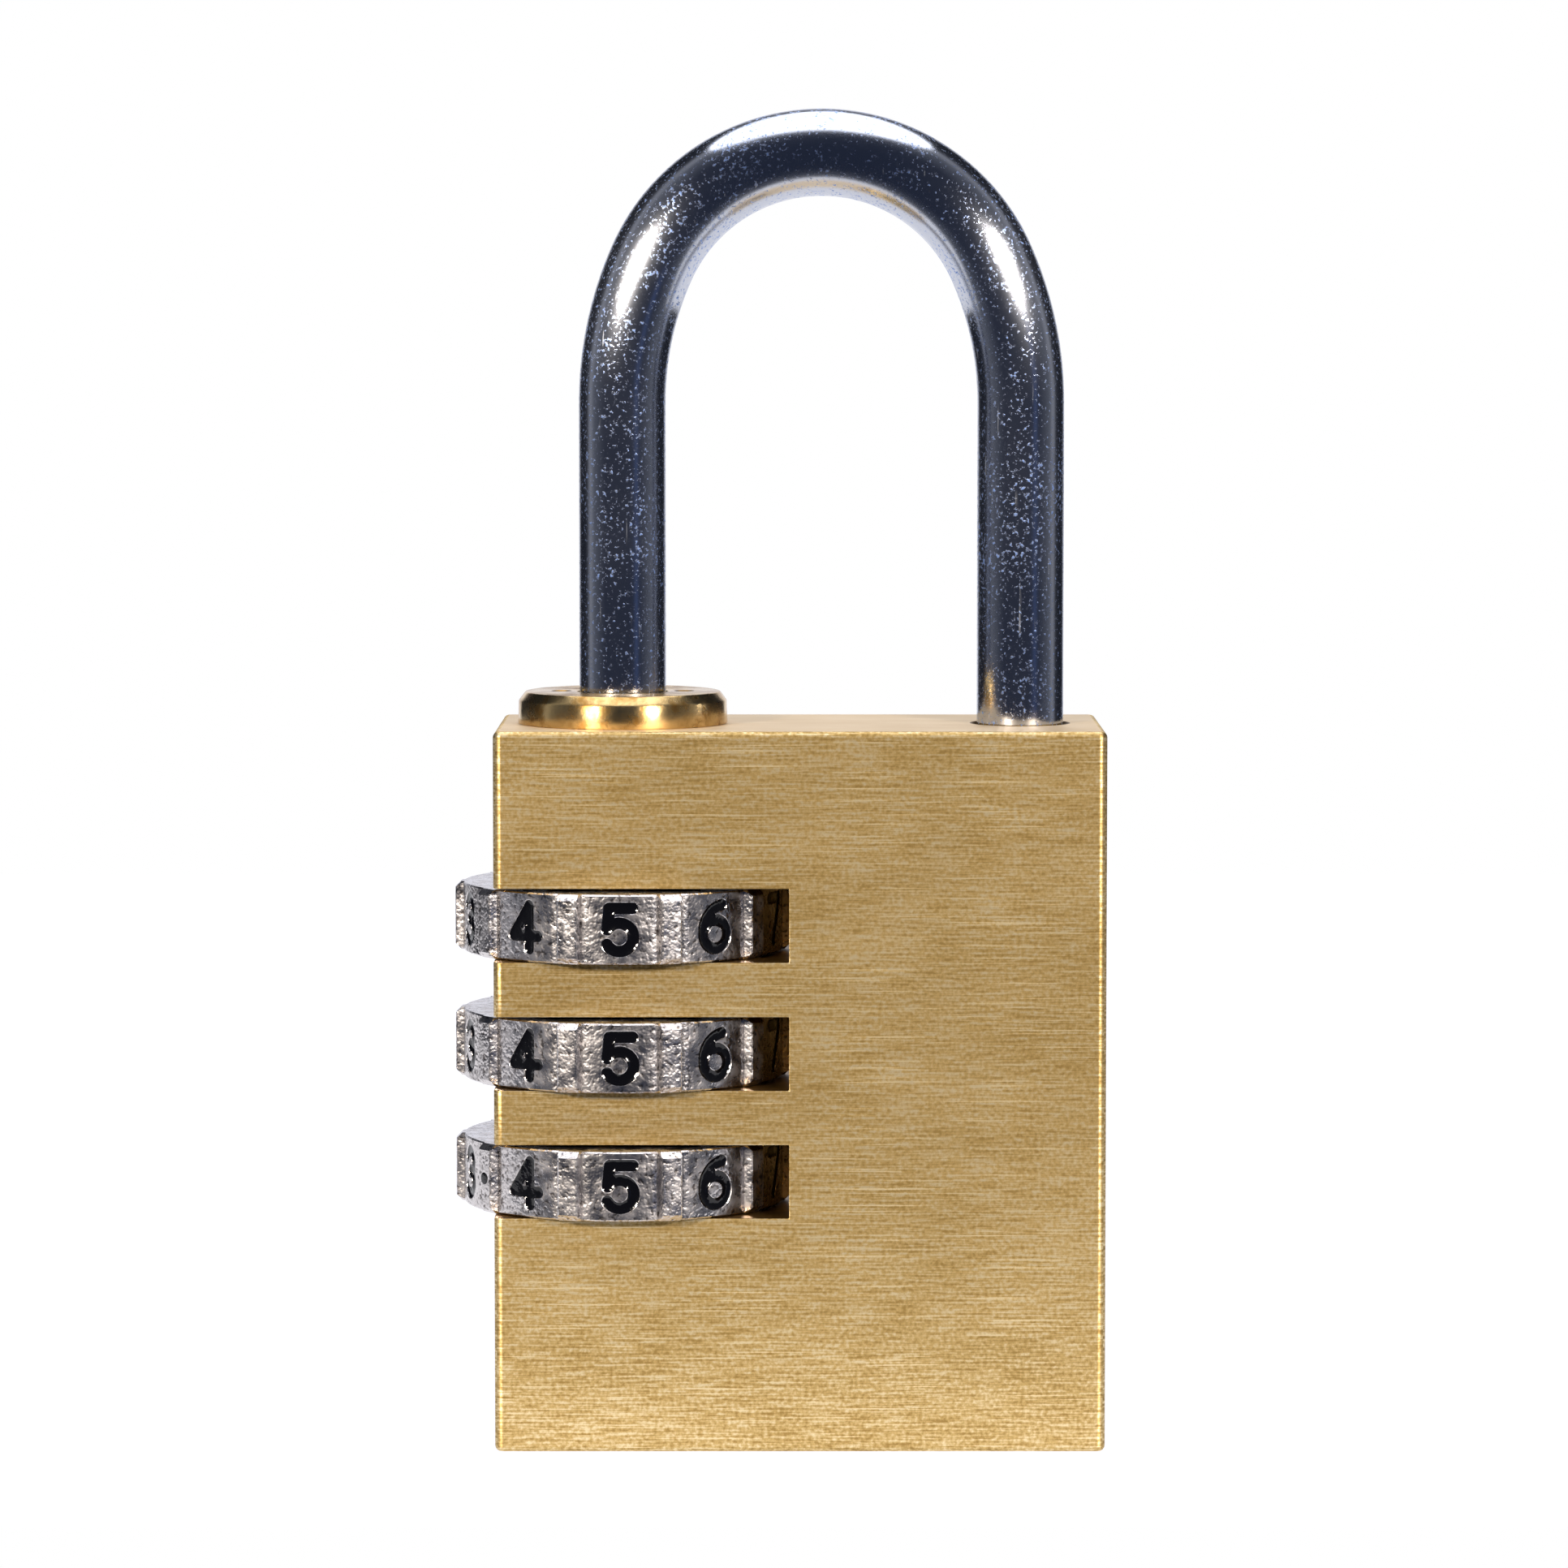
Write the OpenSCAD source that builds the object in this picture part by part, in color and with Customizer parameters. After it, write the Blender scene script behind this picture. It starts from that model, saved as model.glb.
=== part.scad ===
// Combination padlock with three ten-digit dials and a lifting shackle.
// The origin is the centre of the body's bottom face, +Z is up along the shackle legs,
// -Y is the front. The lock is shut, and every dial stands at code 0 with its 5 to the front.

/* [Body] */
// Width of the brass body, along X
body_w = 30; // [26:0.5:38]
// Thickness of the brass body, along Y
body_t = 13; // [10.5:0.25:17]
// Height of the brass body, along Z
body_h = 35.5; // [34:0.5:44]
// Radius of the body's four vertical edges
edge_r = 0.45; // [0.2:0.05:1]
// Bevel round the top and bottom faces
rim_bevel = 0.3; // [0.1:0.05:0.6]
// Distance from the left side to the spindle axis
axis_inset = 6.2; // [5.8:0.1:7.5]
// Distance from the right side to the short leg's axis
short_inset = 4.05; // [3.8:0.05:5.5]
// Distance from the top face down to the middle of the top dial
top_dial_drop = 9.5; // [9:0.25:11]

/* [Dials] */
// Height of one dial
dial_h = 3.4; // [3:0.1:3.8]
// Distance between the dials
dial_pitch = 6.3; // [6.2:0.1:7.6]
// Distance from the axis to each numbered flat
flat_apothem = 7.95; // [7.4:0.05:9]
// Radius of the lands between the flats
land_r = 8.35; // [7.9:0.05:9.5]
// Width of each numbered flat
flat_w = 3.55; // [3.2:0.05:3.7]
// Width of each land between two flats
land_w = 1.1; // [0.8:0.05:1.3]
// Bevel round the dial's two faces
dial_bevel = 0.3; // [0.1:0.05:0.5]
// Height of a digit
digit_h = 2.66; // [2.2:0.02:2.8]
// Width of a digit's stroke
stroke_w = 0.52; // [0.4:0.02:0.6]
// Depth of the digits' pockets in the flats
digit_depth = 0.4; // [0.25:0.05:0.6]

/* [Slots] */
// Height of a slot over that of its dial
slot_play = 0.2; // [0.15:0.05:0.4]
// Clear space round a dial at the back of its slot
slot_reach = 2.15; // [1.5:0.05:2.5]

/* [Shackle] */
// Diameter of the shackle bar
bar_d = 4.3; // [3.6:0.1:5.2]
// Height of the shackle's crown above the body
shackle_rise = 30.4; // [24:0.2:44]
// How much tighter the crown is than a half circle
crown_tighten = 0.675; // [0.3:0.025:1.2]
// How much wider the shoulder bends are than the crown
shoulder_ease = 7.8; // [5:0.1:12]
// Length of the short leg inside the body
leg_insert = 4.4; // [3.6:0.1:5.3]

/* [Collar] */
// Radius of the collar's flange
flange_r = 5.2; // [5:0.05:5.6]
// Height of the collar's flange
flange_h = 1.6; // [1.2:0.1:2.2]
// Bevel round the flange's top
flange_bevel = 0.4; // [0.2:0.05:0.6]
// Radius of the two spanner holes
spanner_r = 0.45; // [0.3:0.05:0.6]

/* [Code mechanism] */
// Travel of the sleeves when the code is changed
code_shift = 1; // [0.8:0.05:1.1]
// Height of a sleeve's keyed flange
key_flange_h = 2.2; // [1.8:0.05:2.4]
// Height of a fin on the shackle's long leg
fin_h = 2.2; // [1.8:0.05:2.3]
// Wall of a code sleeve, from its fin chamber outwards
sleeve_wall = 1.55; // [1.4:0.05:1.7]
// Width of a sleeve's drive tooth
tooth_w = 0.9; // [0.7:0.05:1]
// Diameter of the click springs' wire
click_wire_d = 0.4; // [0.3:0.05:0.45]
// Diameter of the reset spring's wire
reset_wire_d = 0.5; // [0.4:0.05:0.6]
// Length of the reset spring
reset_len = 3.5; // [3:0.1:4]
// Thickness of the thrust washer and of the retaining clip
plate_t = 0.5; // [0.4:0.05:0.6]
// Running clearance between parts that slide or turn
run_gap = 0.1; // [0.05:0.01:0.12]

/* [Hidden] */
$fn = 64;
eps = 0.01;            // overlap of a cut past a face
code_step = 36;        // degrees from one digit to the next
front = -90;           // azimuth of the front
bar_r = bar_d / 2;
axis_x = axis_inset - body_w / 2;
short_x = body_w / 2 - short_inset;
half_span = (short_x - axis_x) / 2;
arch_x = (short_x + axis_x) / 2;

// Spindle stack, outwards from the shackle's turned-down core
core_r = bar_r - 0.7;
chamber_r = bar_r + 0.15;
sleeve_r = chamber_r + sleeve_wall;
bore_r = sleeve_r + run_gap;
tooth_r = sleeve_r + 0.5;
notch_r = tooth_r + run_gap;
notch_w = tooth_w + 2 * run_gap;
spigot_r = bore_r + 0.35;

// Heights that are the same for every dial, from the middle of its slot
slot_h = dial_h + slot_play;
slot_r = land_r + slot_reach;
dial_low = 0.05 - slot_h / 2;
dial_high = dial_low + dial_h;
key_high = slot_h / 2 + run_gap;
key_low = key_high - key_flange_h;
sleeve_low = key_high - dial_pitch + 0.05;
tooth_high = slot_h / 2 - 0.2;
tooth_low = tooth_high - 0.85;
free_high = tooth_low - run_gap;
free_low = free_high - code_shift - run_gap;
click_mid = -dial_pitch / 2;

// Lift of the shackle: it frees the short leg, and takes each fin past its flange
lift_travel = max(leg_insert + 0.8, fin_h + key_flange_h + 0.8);
fin_gap = 0.3;
fin_high = min(key_low - fin_gap,
               dial_pitch + key_low - code_shift - fin_gap - lift_travel);
fin_low = fin_high - fin_h;
fin_r = bar_r - 0.02;
fin_half = 16;         // degrees either side of a fin's middle
key_half = 20;         // degrees either side of a keyway's middle

function slot_z(k) = body_h - top_dial_drop - k * dial_pitch;
sleeve_top_z = slot_z(0) + key_high;
shoulder_z = sleeve_top_z + run_gap;
clip_z = shoulder_z + 0.3;
spigot_z = clip_z + plate_t + lift_travel + 0.05;
washer_z = slot_z(2) + sleeve_low - 0.05 - plate_t;
floor_z = washer_z - reset_len;

// Click springs: a wire ring in a groove, with a nose in a notch and a tail in a pocket
click_r = sleeve_r + 0.2 + click_wire_d / 2;
click_groove_r = click_r + click_wire_d / 2 + run_gap;
click_groove_h = click_wire_d + 0.3;
notch_cut_r = 0.35;
notch_at = sleeve_r + 0.05;
nose_r = notch_at - notch_cut_r + 0.07;
tail_r = click_groove_r + 0.45;
tail_bend = 0.3;
nose_az = code_step;
tail_az = 3 * code_step;
reset_r = bore_r - 0.4 - reset_wire_d / 2;
reset_turns = 4;

// ---------- helpers ----------

module ring(r_out, r_in, h) {
    difference() {
        cylinder(r = r_out, h = h, $fn = 96);
        translate([0, 0, -eps]) cylinder(r = r_in, h = h + 2 * eps, $fn = 96);
    }
}

// Flat wedge with its point on the axis, centred on azimuth az
module wedge(r, az, half) {
    polygon([[0, 0], r * [cos(az - half), sin(az - half)],
             1.2 * r * [cos(az), sin(az)], r * [cos(az + half), sin(az + half)]]);
}

// Round wire along a path of points, with closed ends
function unit(v) = v / norm(v);
function heading(path, i) =
    unit(path[min(i + 1, len(path) - 1)] - path[max(i - 1, 0)]);
module wire(path, r, sides) {
    last = len(path) - 1;
    points = [for (i = [0:last])
        let (t = heading(path, i), n = unit(cross(t, [0, 0, 1])), b = cross(n, t))
        for (s = [0:sides - 1]) path[i] + r * (cos(s * 360 / sides) * n + sin(s * 360 / sides) * b)];
    walls = [for (i = [0:last - 1], s = [0:sides - 1])
        let (a = i * sides + s, c = i * sides + (s + 1) % sides) [a, c, c + sides, a + sides]];
    start = [for (s = [sides - 1:-1:0]) s];
    end = [for (s = [0:sides - 1]) last * sides + s];
    polyhedron(points, concat([start, end], walls));
}

// ---------- body ----------

module body_block() {
    translate([0, 0, rim_bevel]) linear_extrude(body_h - 2 * rim_bevel) body_plan(0);
    for (end = [0, 1]) translate([0, 0, end * body_h]) mirror([0, 0, end])
        linear_extrude(rim_bevel) body_plan(rim_bevel / 2);
}

// The body seen from above: a rectangle with round corners, drawn in by inset
module body_plan(inset) {
    r = edge_r;
    w = body_w / 2 - inset;
    t = body_t / 2 - inset;
    square([2 * (w - r), 2 * t], center = true);
    square([2 * w, 2 * (t - r)], center = true);
    for (x = [-1, 1], y = [-1, 1]) translate([x * (w - r), y * (t - r)]) circle(r);
}

module body() {
    color([0.72, 0.58, 0.33]) difference() {
        body_block();
        translate([axis_x, 0, 0]) {
            translate([0, 0, floor_z]) cylinder(r = bore_r, h = body_h - floor_z + eps, $fn = 96);
            translate([0, 0, spigot_z - run_gap])
                cylinder(r = spigot_r + 0.05, h = body_h - spigot_z + 1, $fn = 96);
            for (k = [0:2]) translate([0, 0, slot_z(k)]) {
                translate([0, 0, -slot_h / 2]) cylinder(r = slot_r, h = slot_h, $fn = 128);
                translate([0, 0, click_mid]) click_seat();
            }
            // groove that the sleeves' teeth pass down, between two digits
            rotate([0, 0, front + code_step / 2])
                translate([0, -notch_w / 2, slot_z(2)])
                    cube([notch_r, notch_w, body_h - slot_z(2) + eps]);
        }
        translate([short_x, 0, body_h - leg_insert - 0.1])
            cylinder(r = bar_r + 0.2, h = leg_insert + 1, $fn = 64);
    }
}

module click_seat() {
    translate([0, 0, -click_groove_h / 2]) {
        ring(click_groove_r, bore_r - 0.5, click_groove_h);
        rotate([0, 0, tail_az - 4]) translate([bore_r, -0.35, 0])
            cube([tail_r + run_gap - bore_r, 0.7, click_groove_h]);
    }
}

// ---------- shackle ----------

crown_r = half_span - crown_tighten;
shoulder_r = crown_r + shoulder_ease;
shoulder_arc = acos((shoulder_ease - crown_tighten) / shoulder_ease);
crown_rise = shoulder_ease * sin(shoulder_arc);
spring_z = body_h + shackle_rise - bar_r - crown_r - crown_rise;
tip_bevel = 0.4;
blend_len = 0.5;       // straight stretch where a shoulder bend runs into the crown

// Part of a torus standing in the XZ plane, from angle a0 to a1
module arch_bend(r, a0, a1) {
    rotate([90, 0, 0]) rotate_extrude(angle = a1 - a0, start = a0, $fn = 96)
        translate([r, 0]) circle(bar_r);
}

// Half of the arch, from its middle to the top of the right leg
module half_arch() {
    skip = 15 * blend_len / crown_r;
    translate([0, 0, crown_rise]) arch_bend(crown_r, shoulder_arc + skip, 90);
    translate([half_span - shoulder_r, 0, 0]) {
        arch_bend(shoulder_r, 0, shoulder_arc - skip);
        rotate([0, -shoulder_arc, 0]) translate([shoulder_r, 0, -blend_len / 2])
            cylinder(r = bar_r + eps, h = blend_len);
    }
}

// A straight leg of the bar that hangs down from the arch
module leg(length, bevel) {
    rotate_extrude() polygon([[0, 0], [bar_r, 0], [bar_r, bevel - length],
                              [bar_r - bevel, -length], [0, -length]]);
}

module shackle() {
    color([0.62, 0.64, 0.7]) {
        difference() {
            translate([arch_x, 0, spring_z]) {
                half_arch();
                mirror([1, 0, 0]) half_arch();
                translate([half_span, 0, 0]) leg(spring_z - body_h + leg_insert, tip_bevel);
                translate([-half_span, 0, 0]) leg(spring_z - shoulder_z, 0.1);
            }
            translate([axis_x, 0, clip_z]) ring(bar_r + 1, bar_r - 0.45, plate_t);
        }
        translate([axis_x, 0, 0]) {
            translate([0, 0, washer_z - 1]) cylinder(r = core_r, h = shoulder_z - washer_z + 1 + eps);
            for (k = [0:2]) translate([0, 0, slot_z(k) + fin_low]) fin();
        }
    }
}

module fin() {
    linear_extrude(fin_h) intersection() {
        difference() {
            circle(fin_r);
            circle(core_r - 0.2);
        }
        wedge(2 * fin_r, 0, fin_half);
    }
}

module retaining_clip() {
    inner = bar_r - 0.45;
    color([0.45, 0.46, 0.48]) translate([axis_x, 0, clip_z]) linear_extrude(plate_t)
        difference() {
            circle(bore_r - 0.75);
            circle(inner);
            translate([0, -inner + 0.35]) square([bore_r, 2 * (inner - 0.35)]);
            for (az = [72, 180, 288]) rotate(az) translate([inner + 0.15, 0]) circle(0.35, $fn = 24);
        }
}

// ---------- collar ----------

module top_collar() {
    hole_at = bar_r + run_gap + 0.35 + spanner_r;
    color([0.84, 0.66, 0.34]) translate([axis_x, 0, 0]) difference() {
        rotate_extrude($fn = 96) polygon([
            [bar_r + run_gap, spigot_z], [spigot_r - 0.2, spigot_z], [spigot_r, spigot_z + 0.2],
            [spigot_r, body_h], [flange_r, body_h], [flange_r, body_h + flange_h - flange_bevel],
            [flange_r - flange_bevel, body_h + flange_h], [bar_r + run_gap, body_h + flange_h]]);
        for (side = [-1, 1]) translate([side * hole_at, 0, body_h + flange_h - 0.8])
            cylinder(r = spanner_r, h = 1, $fn = 32);
    }
}

// ---------- dials ----------

module dial_plan() {
    half = flat_w / 2;
    land = asin(land_w / 2 / land_r);
    edge = 18 - land;
    difference() {
        circle(land_r, $fn = 128);
        for (d = [0:9]) rotate(front + d * code_step) polygon([
            [flat_apothem, -half], [flat_apothem, half],
            [flat_apothem - 0.12, half + 0.14],
            land_r * [cos(edge), sin(edge)], 1.1 * land_r * [cos(edge), sin(edge)],
            1.1 * land_r * [cos(edge), -sin(edge)], land_r * [cos(edge), -sin(edge)],
            [flat_apothem - 0.12, -half - 0.14]]);
    }
}

module dial_blank() {
    intersection() {
        linear_extrude(dial_h) dial_plan();
        rotate_extrude($fn = 128) polygon([
            [bore_r, 0], [land_r - dial_bevel, 0], [land_r + eps, dial_bevel + eps],
            [land_r + eps, dial_h - dial_bevel - eps], [land_r - dial_bevel, dial_h], [bore_r, dial_h]]);
    }
}

module dial(k) {
    translate([axis_x, 0, slot_z(k)]) difference() {
        translate([0, 0, dial_low]) dial_blank();
        translate([0, 0, free_low]) cylinder(r = notch_r, h = free_high - free_low, $fn = 96);
        for (d = [0:9]) rotate([0, 0, front + d * code_step]) {
            translate([0, -notch_w / 2, free_high - eps])
                cube([notch_r, notch_w, dial_high - free_high + 2 * eps]);
            digit_at(d + 5) translate([0, 0, -digit_depth]) linear_extrude(digit_depth + 1) digit(d + 5);
        }
        if (k == 2) dot_at(land_r - digit_depth) cylinder(r = 0.42, h = 1, $fn = 32);
    }
}

module dial_top() { color([0.78, 0.78, 0.8]) dial(0); }
module dial_middle() { color([0.78, 0.78, 0.8]) dial(1); }
module dial_bottom() { color([0.78, 0.78, 0.8]) dial(2); }

// Places a flat drawing on the numbered flat that faces +X
module digit_at(value) {
    translate([flat_apothem, 0, (dial_low + dial_high) / 2]) rotate([90, 0, 90]) children();
}

// Enamel dot on the land between 3 and 4
module dot_at(r) {
    rotate([0, 0, front - 1.5 * code_step]) translate([r, 0, (dial_low + dial_high) / 2])
        rotate([0, 90, 0]) children();
}

module numerals(k) {
    translate([axis_x, 0, slot_z(k)]) for (d = [0:9]) rotate([0, 0, front + d * code_step])
        digit_at(d + 5) translate([0, 0, -digit_depth]) linear_extrude(digit_depth - 0.06) digit(d + 5);
}

module numerals_top() { color([0.04, 0.04, 0.05]) numerals(0); }
module numerals_middle() { color([0.04, 0.04, 0.05]) numerals(1); }
module numerals_bottom() { color([0.04, 0.04, 0.05]) numerals(2); }

module index_dot() {
    color([0.04, 0.04, 0.05]) translate([axis_x, 0, slot_z(2)])
        dot_at(land_r - digit_depth) cylinder(r = 0.42, h = digit_depth - 0.06, $fn = 32);
}

// ---------- digits, drawn with a round pen in a frame one unit high ----------

pen = stroke_w / digit_h / 2;
module dot(p) { translate(p) circle(pen, $fn = 16); }

module line(p, q) {
    run = q - p;
    dot(p);
    dot(q);
    translate(p) rotate(atan2(run.y, run.x)) translate([0, -pen]) square([norm(run), 2 * pen]);
}

// Arc of a circle from angle a0 anticlockwise to a1
module arc(c, r, a0, a1) {
    span = a1 - a0;
    reach = 1.5 * (r + pen);
    dot(c + r * [cos(a0), sin(a0)]);
    dot(c + r * [cos(a1), sin(a1)]);
    translate(c) intersection() {
        difference() {
            circle(r + pen, $fn = 48);
            circle(r - pen, $fn = 32);
        }
        polygon(concat([[0, 0]], [for (i = [0:4]) let (a = a0 + span * i / 4) reach * [cos(a), sin(a)]]));
    }
}

module hoop(c, r) {
    translate(c) difference() {
        circle(r + pen, $fn = 48);
        circle(r - pen, $fn = 32);
    }
}

module digit(value) {
    d = value % 10;
    top = 0.5 - pen;       // height of the pen's path above the middle
    side = 0.27;           // half width of the pen's path
    scale(digit_h) {
        if (d == 0) {
            arc([0, top - side], side, 0, 180);
            arc([0, side - top], side, 180, 360);
            for (x = [-side, side]) line([x, side - top], [x, top - side]);
        }
        if (d == 1) {
            line([0.05, -top], [0.05, top]);
            line([0.05, top], [-0.17, 0.2]);
        }
        if (d == 2) {
            arc([0, top - 0.25], 0.25, -36, 170);
            line([0.25 * cos(36), top - 0.25 - 0.25 * sin(36)], [-side, -top]);
            line([-side, -top], [side, -top]);
        }
        if (d == 3) {
            arc([0, top - 0.2], 0.2, -90, 160);
            arc([0, 0.218 - top], 0.218, -160, 90);
        }
        if (d == 4) {
            line([0.1, top], [0.1, -top]);
            line([0.1, top], [-side, -0.16]);
            line([-side, -0.16], [side + 0.02, -0.16]);
        }
        if (d == 5) {
            line([-0.18, top], [0.24, top]);
            line([-0.18, top], [-0.22, 0.03]);
            arc([0, 0.26 - top], 0.26, -150, 148);
        }
        if (d == 6 || d == 9) rotate(d == 9 ? 180 : 0) {
            hoop([0, 0.26 - top], 0.26);
            arc([0.2, -0.06], 0.46, 96, 176);
        }
        if (d == 7) {
            line([-side, top], [side, top]);
            line([side, top], [-0.07, -top]);
        }
        if (d == 8) {
            hoop([0, top - 0.195], 0.195);
            hoop([0, 0.23 - top], 0.23);
        }
    }
}

// ---------- code sleeves ----------

module sleeve(k) {
    color([0.74, 0.6, 0.34]) translate([axis_x, 0, slot_z(k)]) difference() {
        union() {
            translate([0, 0, sleeve_low]) cylinder(r = sleeve_r, h = key_high - sleeve_low, $fn = 96);
            translate([0, 0, tooth_low]) linear_extrude(tooth_high - tooth_low) intersection() {
                circle(tooth_r, $fn = 96);
                rotate(front) translate([0, -tooth_w / 2]) square([tooth_r, tooth_w]);
            }
        }
        translate([0, 0, sleeve_low - eps]) {
            cylinder(r = core_r + run_gap, h = key_high - sleeve_low + 2 * eps);
            cylinder(r = chamber_r, h = key_low - sleeve_low + eps, $fn = 96);
        }
        // keyways: one for opening at +X, one for changing the code a quarter turn on
        for (az = [0, 90]) translate([0, 0, key_low - eps]) linear_extrude(key_flange_h + 2 * eps)
            intersection() {
                circle(bar_r + run_gap);
                wedge(2 * bar_r, az, key_half);
            }
        for (i = [0:9]) rotate([0, 0, i * code_step]) translate([notch_at, 0, click_mid - 1])
            cylinder(r = notch_cut_r, h = 2, $fn = 24);
    }
}

module sleeve_top() { sleeve(0); }
module sleeve_middle() { sleeve(1); }
module sleeve_bottom() { sleeve(2); }

// ---------- springs and washer ----------

// Points of a click spring: tail, outward bend, ring, inward bend, nose
function polar(a, r, t) = [r * cos(a) - t * sin(a), r * sin(a) + t * cos(a), 0];
click_start = tail_az;
click_end = nose_az + 360 - atan(tail_bend / notch_at);
click_path = concat(
    [polar(click_start, tail_r, -tail_bend)],
    [for (f = [90:-30:0]) polar(click_start, click_r + tail_bend * (1 - cos(f)), -tail_bend * sin(f))],
    [for (i = [1:27]) polar(click_start + (click_end - click_start) * i / 28, click_r, 0)],
    [for (f = [0:30:90]) polar(click_end, click_r - tail_bend * (1 - cos(f)), tail_bend * sin(f))],
    [polar(click_end, nose_r, tail_bend)]);

module click_spring(k) {
    color([0.5, 0.51, 0.54]) translate([axis_x, 0, slot_z(k) + click_mid])
        wire(click_path, click_wire_d / 2, 8);
}

module click_spring_top() { click_spring(0); }
module click_spring_middle() { click_spring(1); }
module click_spring_bottom() { click_spring(2); }

module thrust_washer() {
    color([0.6, 0.61, 0.63]) translate([axis_x, 0, washer_z])
        ring(bore_r - 0.15, core_r + 0.15, plate_t);
}

module reset_spring() {
    steps = 20 * reset_turns;
    rise = reset_len - reset_wire_d - 0.04;
    low = floor_z + reset_wire_d / 2 + 0.02;
    path = [for (i = [0:steps]) let (a = 360 * reset_turns * i / steps)
        [reset_r * cos(a), reset_r * sin(a), low + rise * i / steps]];
    color([0.5, 0.51, 0.54]) translate([axis_x, 0, 0]) wire(path, reset_wire_d / 2, 8);
}

body();
shackle();
top_collar();
retaining_clip();
dial_top();
dial_middle();
dial_bottom();
numerals_top();
numerals_middle();
numerals_bottom();
index_dot();
sleeve_top();
sleeve_middle();
sleeve_bottom();
click_spring_top();
click_spring_middle();
click_spring_bottom();
thrust_washer();
reset_spring();
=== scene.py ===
import math
import bmesh
import bpy
import numpy as np
from mathutils import Matrix, Vector


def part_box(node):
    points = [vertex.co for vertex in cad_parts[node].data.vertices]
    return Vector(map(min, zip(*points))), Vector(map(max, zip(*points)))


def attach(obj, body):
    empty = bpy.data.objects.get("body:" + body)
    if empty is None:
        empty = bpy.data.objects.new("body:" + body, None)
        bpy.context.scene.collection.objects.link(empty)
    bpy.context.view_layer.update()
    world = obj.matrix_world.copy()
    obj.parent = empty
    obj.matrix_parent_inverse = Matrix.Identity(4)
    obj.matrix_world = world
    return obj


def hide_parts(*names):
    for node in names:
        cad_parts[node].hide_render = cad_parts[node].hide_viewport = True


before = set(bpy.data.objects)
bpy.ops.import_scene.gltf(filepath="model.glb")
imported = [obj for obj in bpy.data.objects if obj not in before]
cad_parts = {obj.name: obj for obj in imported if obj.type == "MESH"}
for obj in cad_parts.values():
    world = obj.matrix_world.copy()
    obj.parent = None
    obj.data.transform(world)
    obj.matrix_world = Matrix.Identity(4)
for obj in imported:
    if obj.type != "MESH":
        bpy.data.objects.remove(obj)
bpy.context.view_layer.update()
mm = 0.001
print("frame loaded:", len(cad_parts), "nodes")

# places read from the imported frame
brassLow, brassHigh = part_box("body")
collarLow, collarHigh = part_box("top_collar")
shackleLow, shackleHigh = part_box("shackle")
spindleX = (collarLow.x + collarHigh.x) / 2
bodyTop = brassHigh.z
dialNames = ["top", "middle", "bottom"]
dialBoxes = {name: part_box("dial_" + name) for name in dialNames}


def hexLinear(code):
    # an sRGB hex colour as linear red, green and blue with full alpha
    parts = [int(code[i:i + 2], 16) / 255 for i in (1, 3, 5)]
    return [c / 12.92 if c <= 0.04045 else ((c + 0.055) / 1.055) ** 2.4 for c in parts] + [1.0]


def setInputs(node, links=None, values=None):
    for key, value in (values or {}).items():
        node.inputs[key].default_value = value
    for key, socket in (links or {}).items():
        node.id_data.links.new(socket, node.inputs[key])


def addNode(tree, kind, links=None, values=None, give=None, stops=None, **settings):
    # one node with its incoming links, values, colour stops and settings; "give" names an output
    node = tree.nodes.new("ShaderNode" + kind)
    for key, value in settings.items():
        setattr(node, key, value)
    setInputs(node, links, values)
    if stops:
        marks = node.color_ramp.elements
        while len(marks) < len(stops):
            marks.new(0.5)
        for mark, (position, code) in zip(marks, stops):
            mark.position = position
            mark.color = hexLinear(code)
    return node if give is None else node.outputs[give]


def meshObject(name, bm, smoothAngle=30):
    # a linked object from a mesh being built, smooth except at edges sharper than the angle
    bmesh.ops.remove_doubles(bm, verts=bm.verts, dist=2e-7)
    bmesh.ops.dissolve_degenerate(bm, edges=bm.edges, dist=1e-8)
    bmesh.ops.recalc_face_normals(bm, faces=bm.faces)
    mesh = bpy.data.meshes.new(name)
    bm.to_mesh(mesh)
    bm.free()
    piece = bpy.data.objects.new(name, mesh)
    bpy.context.scene.collection.objects.link(piece)
    mesh.shade_smooth()
    mesh.set_sharp_from_angle(angle=math.radians(smoothAngle))
    return piece


def bakeModifiers(piece):
    # keeps the mesh as its modifiers leave it
    graph = bpy.context.evaluated_depsgraph_get()
    made = bpy.data.meshes.new_from_object(piece.evaluated_get(graph))
    piece.modifiers.clear()
    old = piece.data
    piece.data = made
    bpy.data.meshes.remove(old)


def carve(piece, tool, how="DIFFERENCE"):
    # cuts the tool out of the piece, or joins it on, and uses the tool up
    cut = piece.modifiers.new("cut", "BOOLEAN")
    cut.operation = how
    cut.solver = "EXACT"
    cut.object = tool
    bakeModifiers(piece)
    bpy.data.objects.remove(tool)


def bridge(bm, upper, lower):
    # a band of faces between two rings of points
    for i in range(len(upper)):
        j = (i + 1) % len(upper)
        bm.faces.new((upper[i], upper[j], lower[j], lower[i]))


def lathe(bm, profile, centreX, steps, closed=True):
    # a ring of points for each (radius, height), joined in order round the Z axis
    rings = []
    for radius, height in profile:
        if radius < 1e-9:
            rings.append([bm.verts.new((centreX, 0, height))] * steps)
            continue
        rings.append([bm.verts.new((centreX + radius * math.cos(2 * math.pi * i / steps),
                                    radius * math.sin(2 * math.pi * i / steps), height))
                      for i in range(steps)])
    joins = list(zip(rings, rings[1:]))
    if closed:
        joins.append((rings[-1], rings[0]))
    for low, high in joins:
        for i in range(steps):
            j = (i + 1) % steps
            corners = []
            for vert in (low[i], low[j], high[j], high[i]):
                if vert not in corners:
                    corners.append(vert)
            if len(corners) > 2:
                bm.faces.new(corners)


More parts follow.
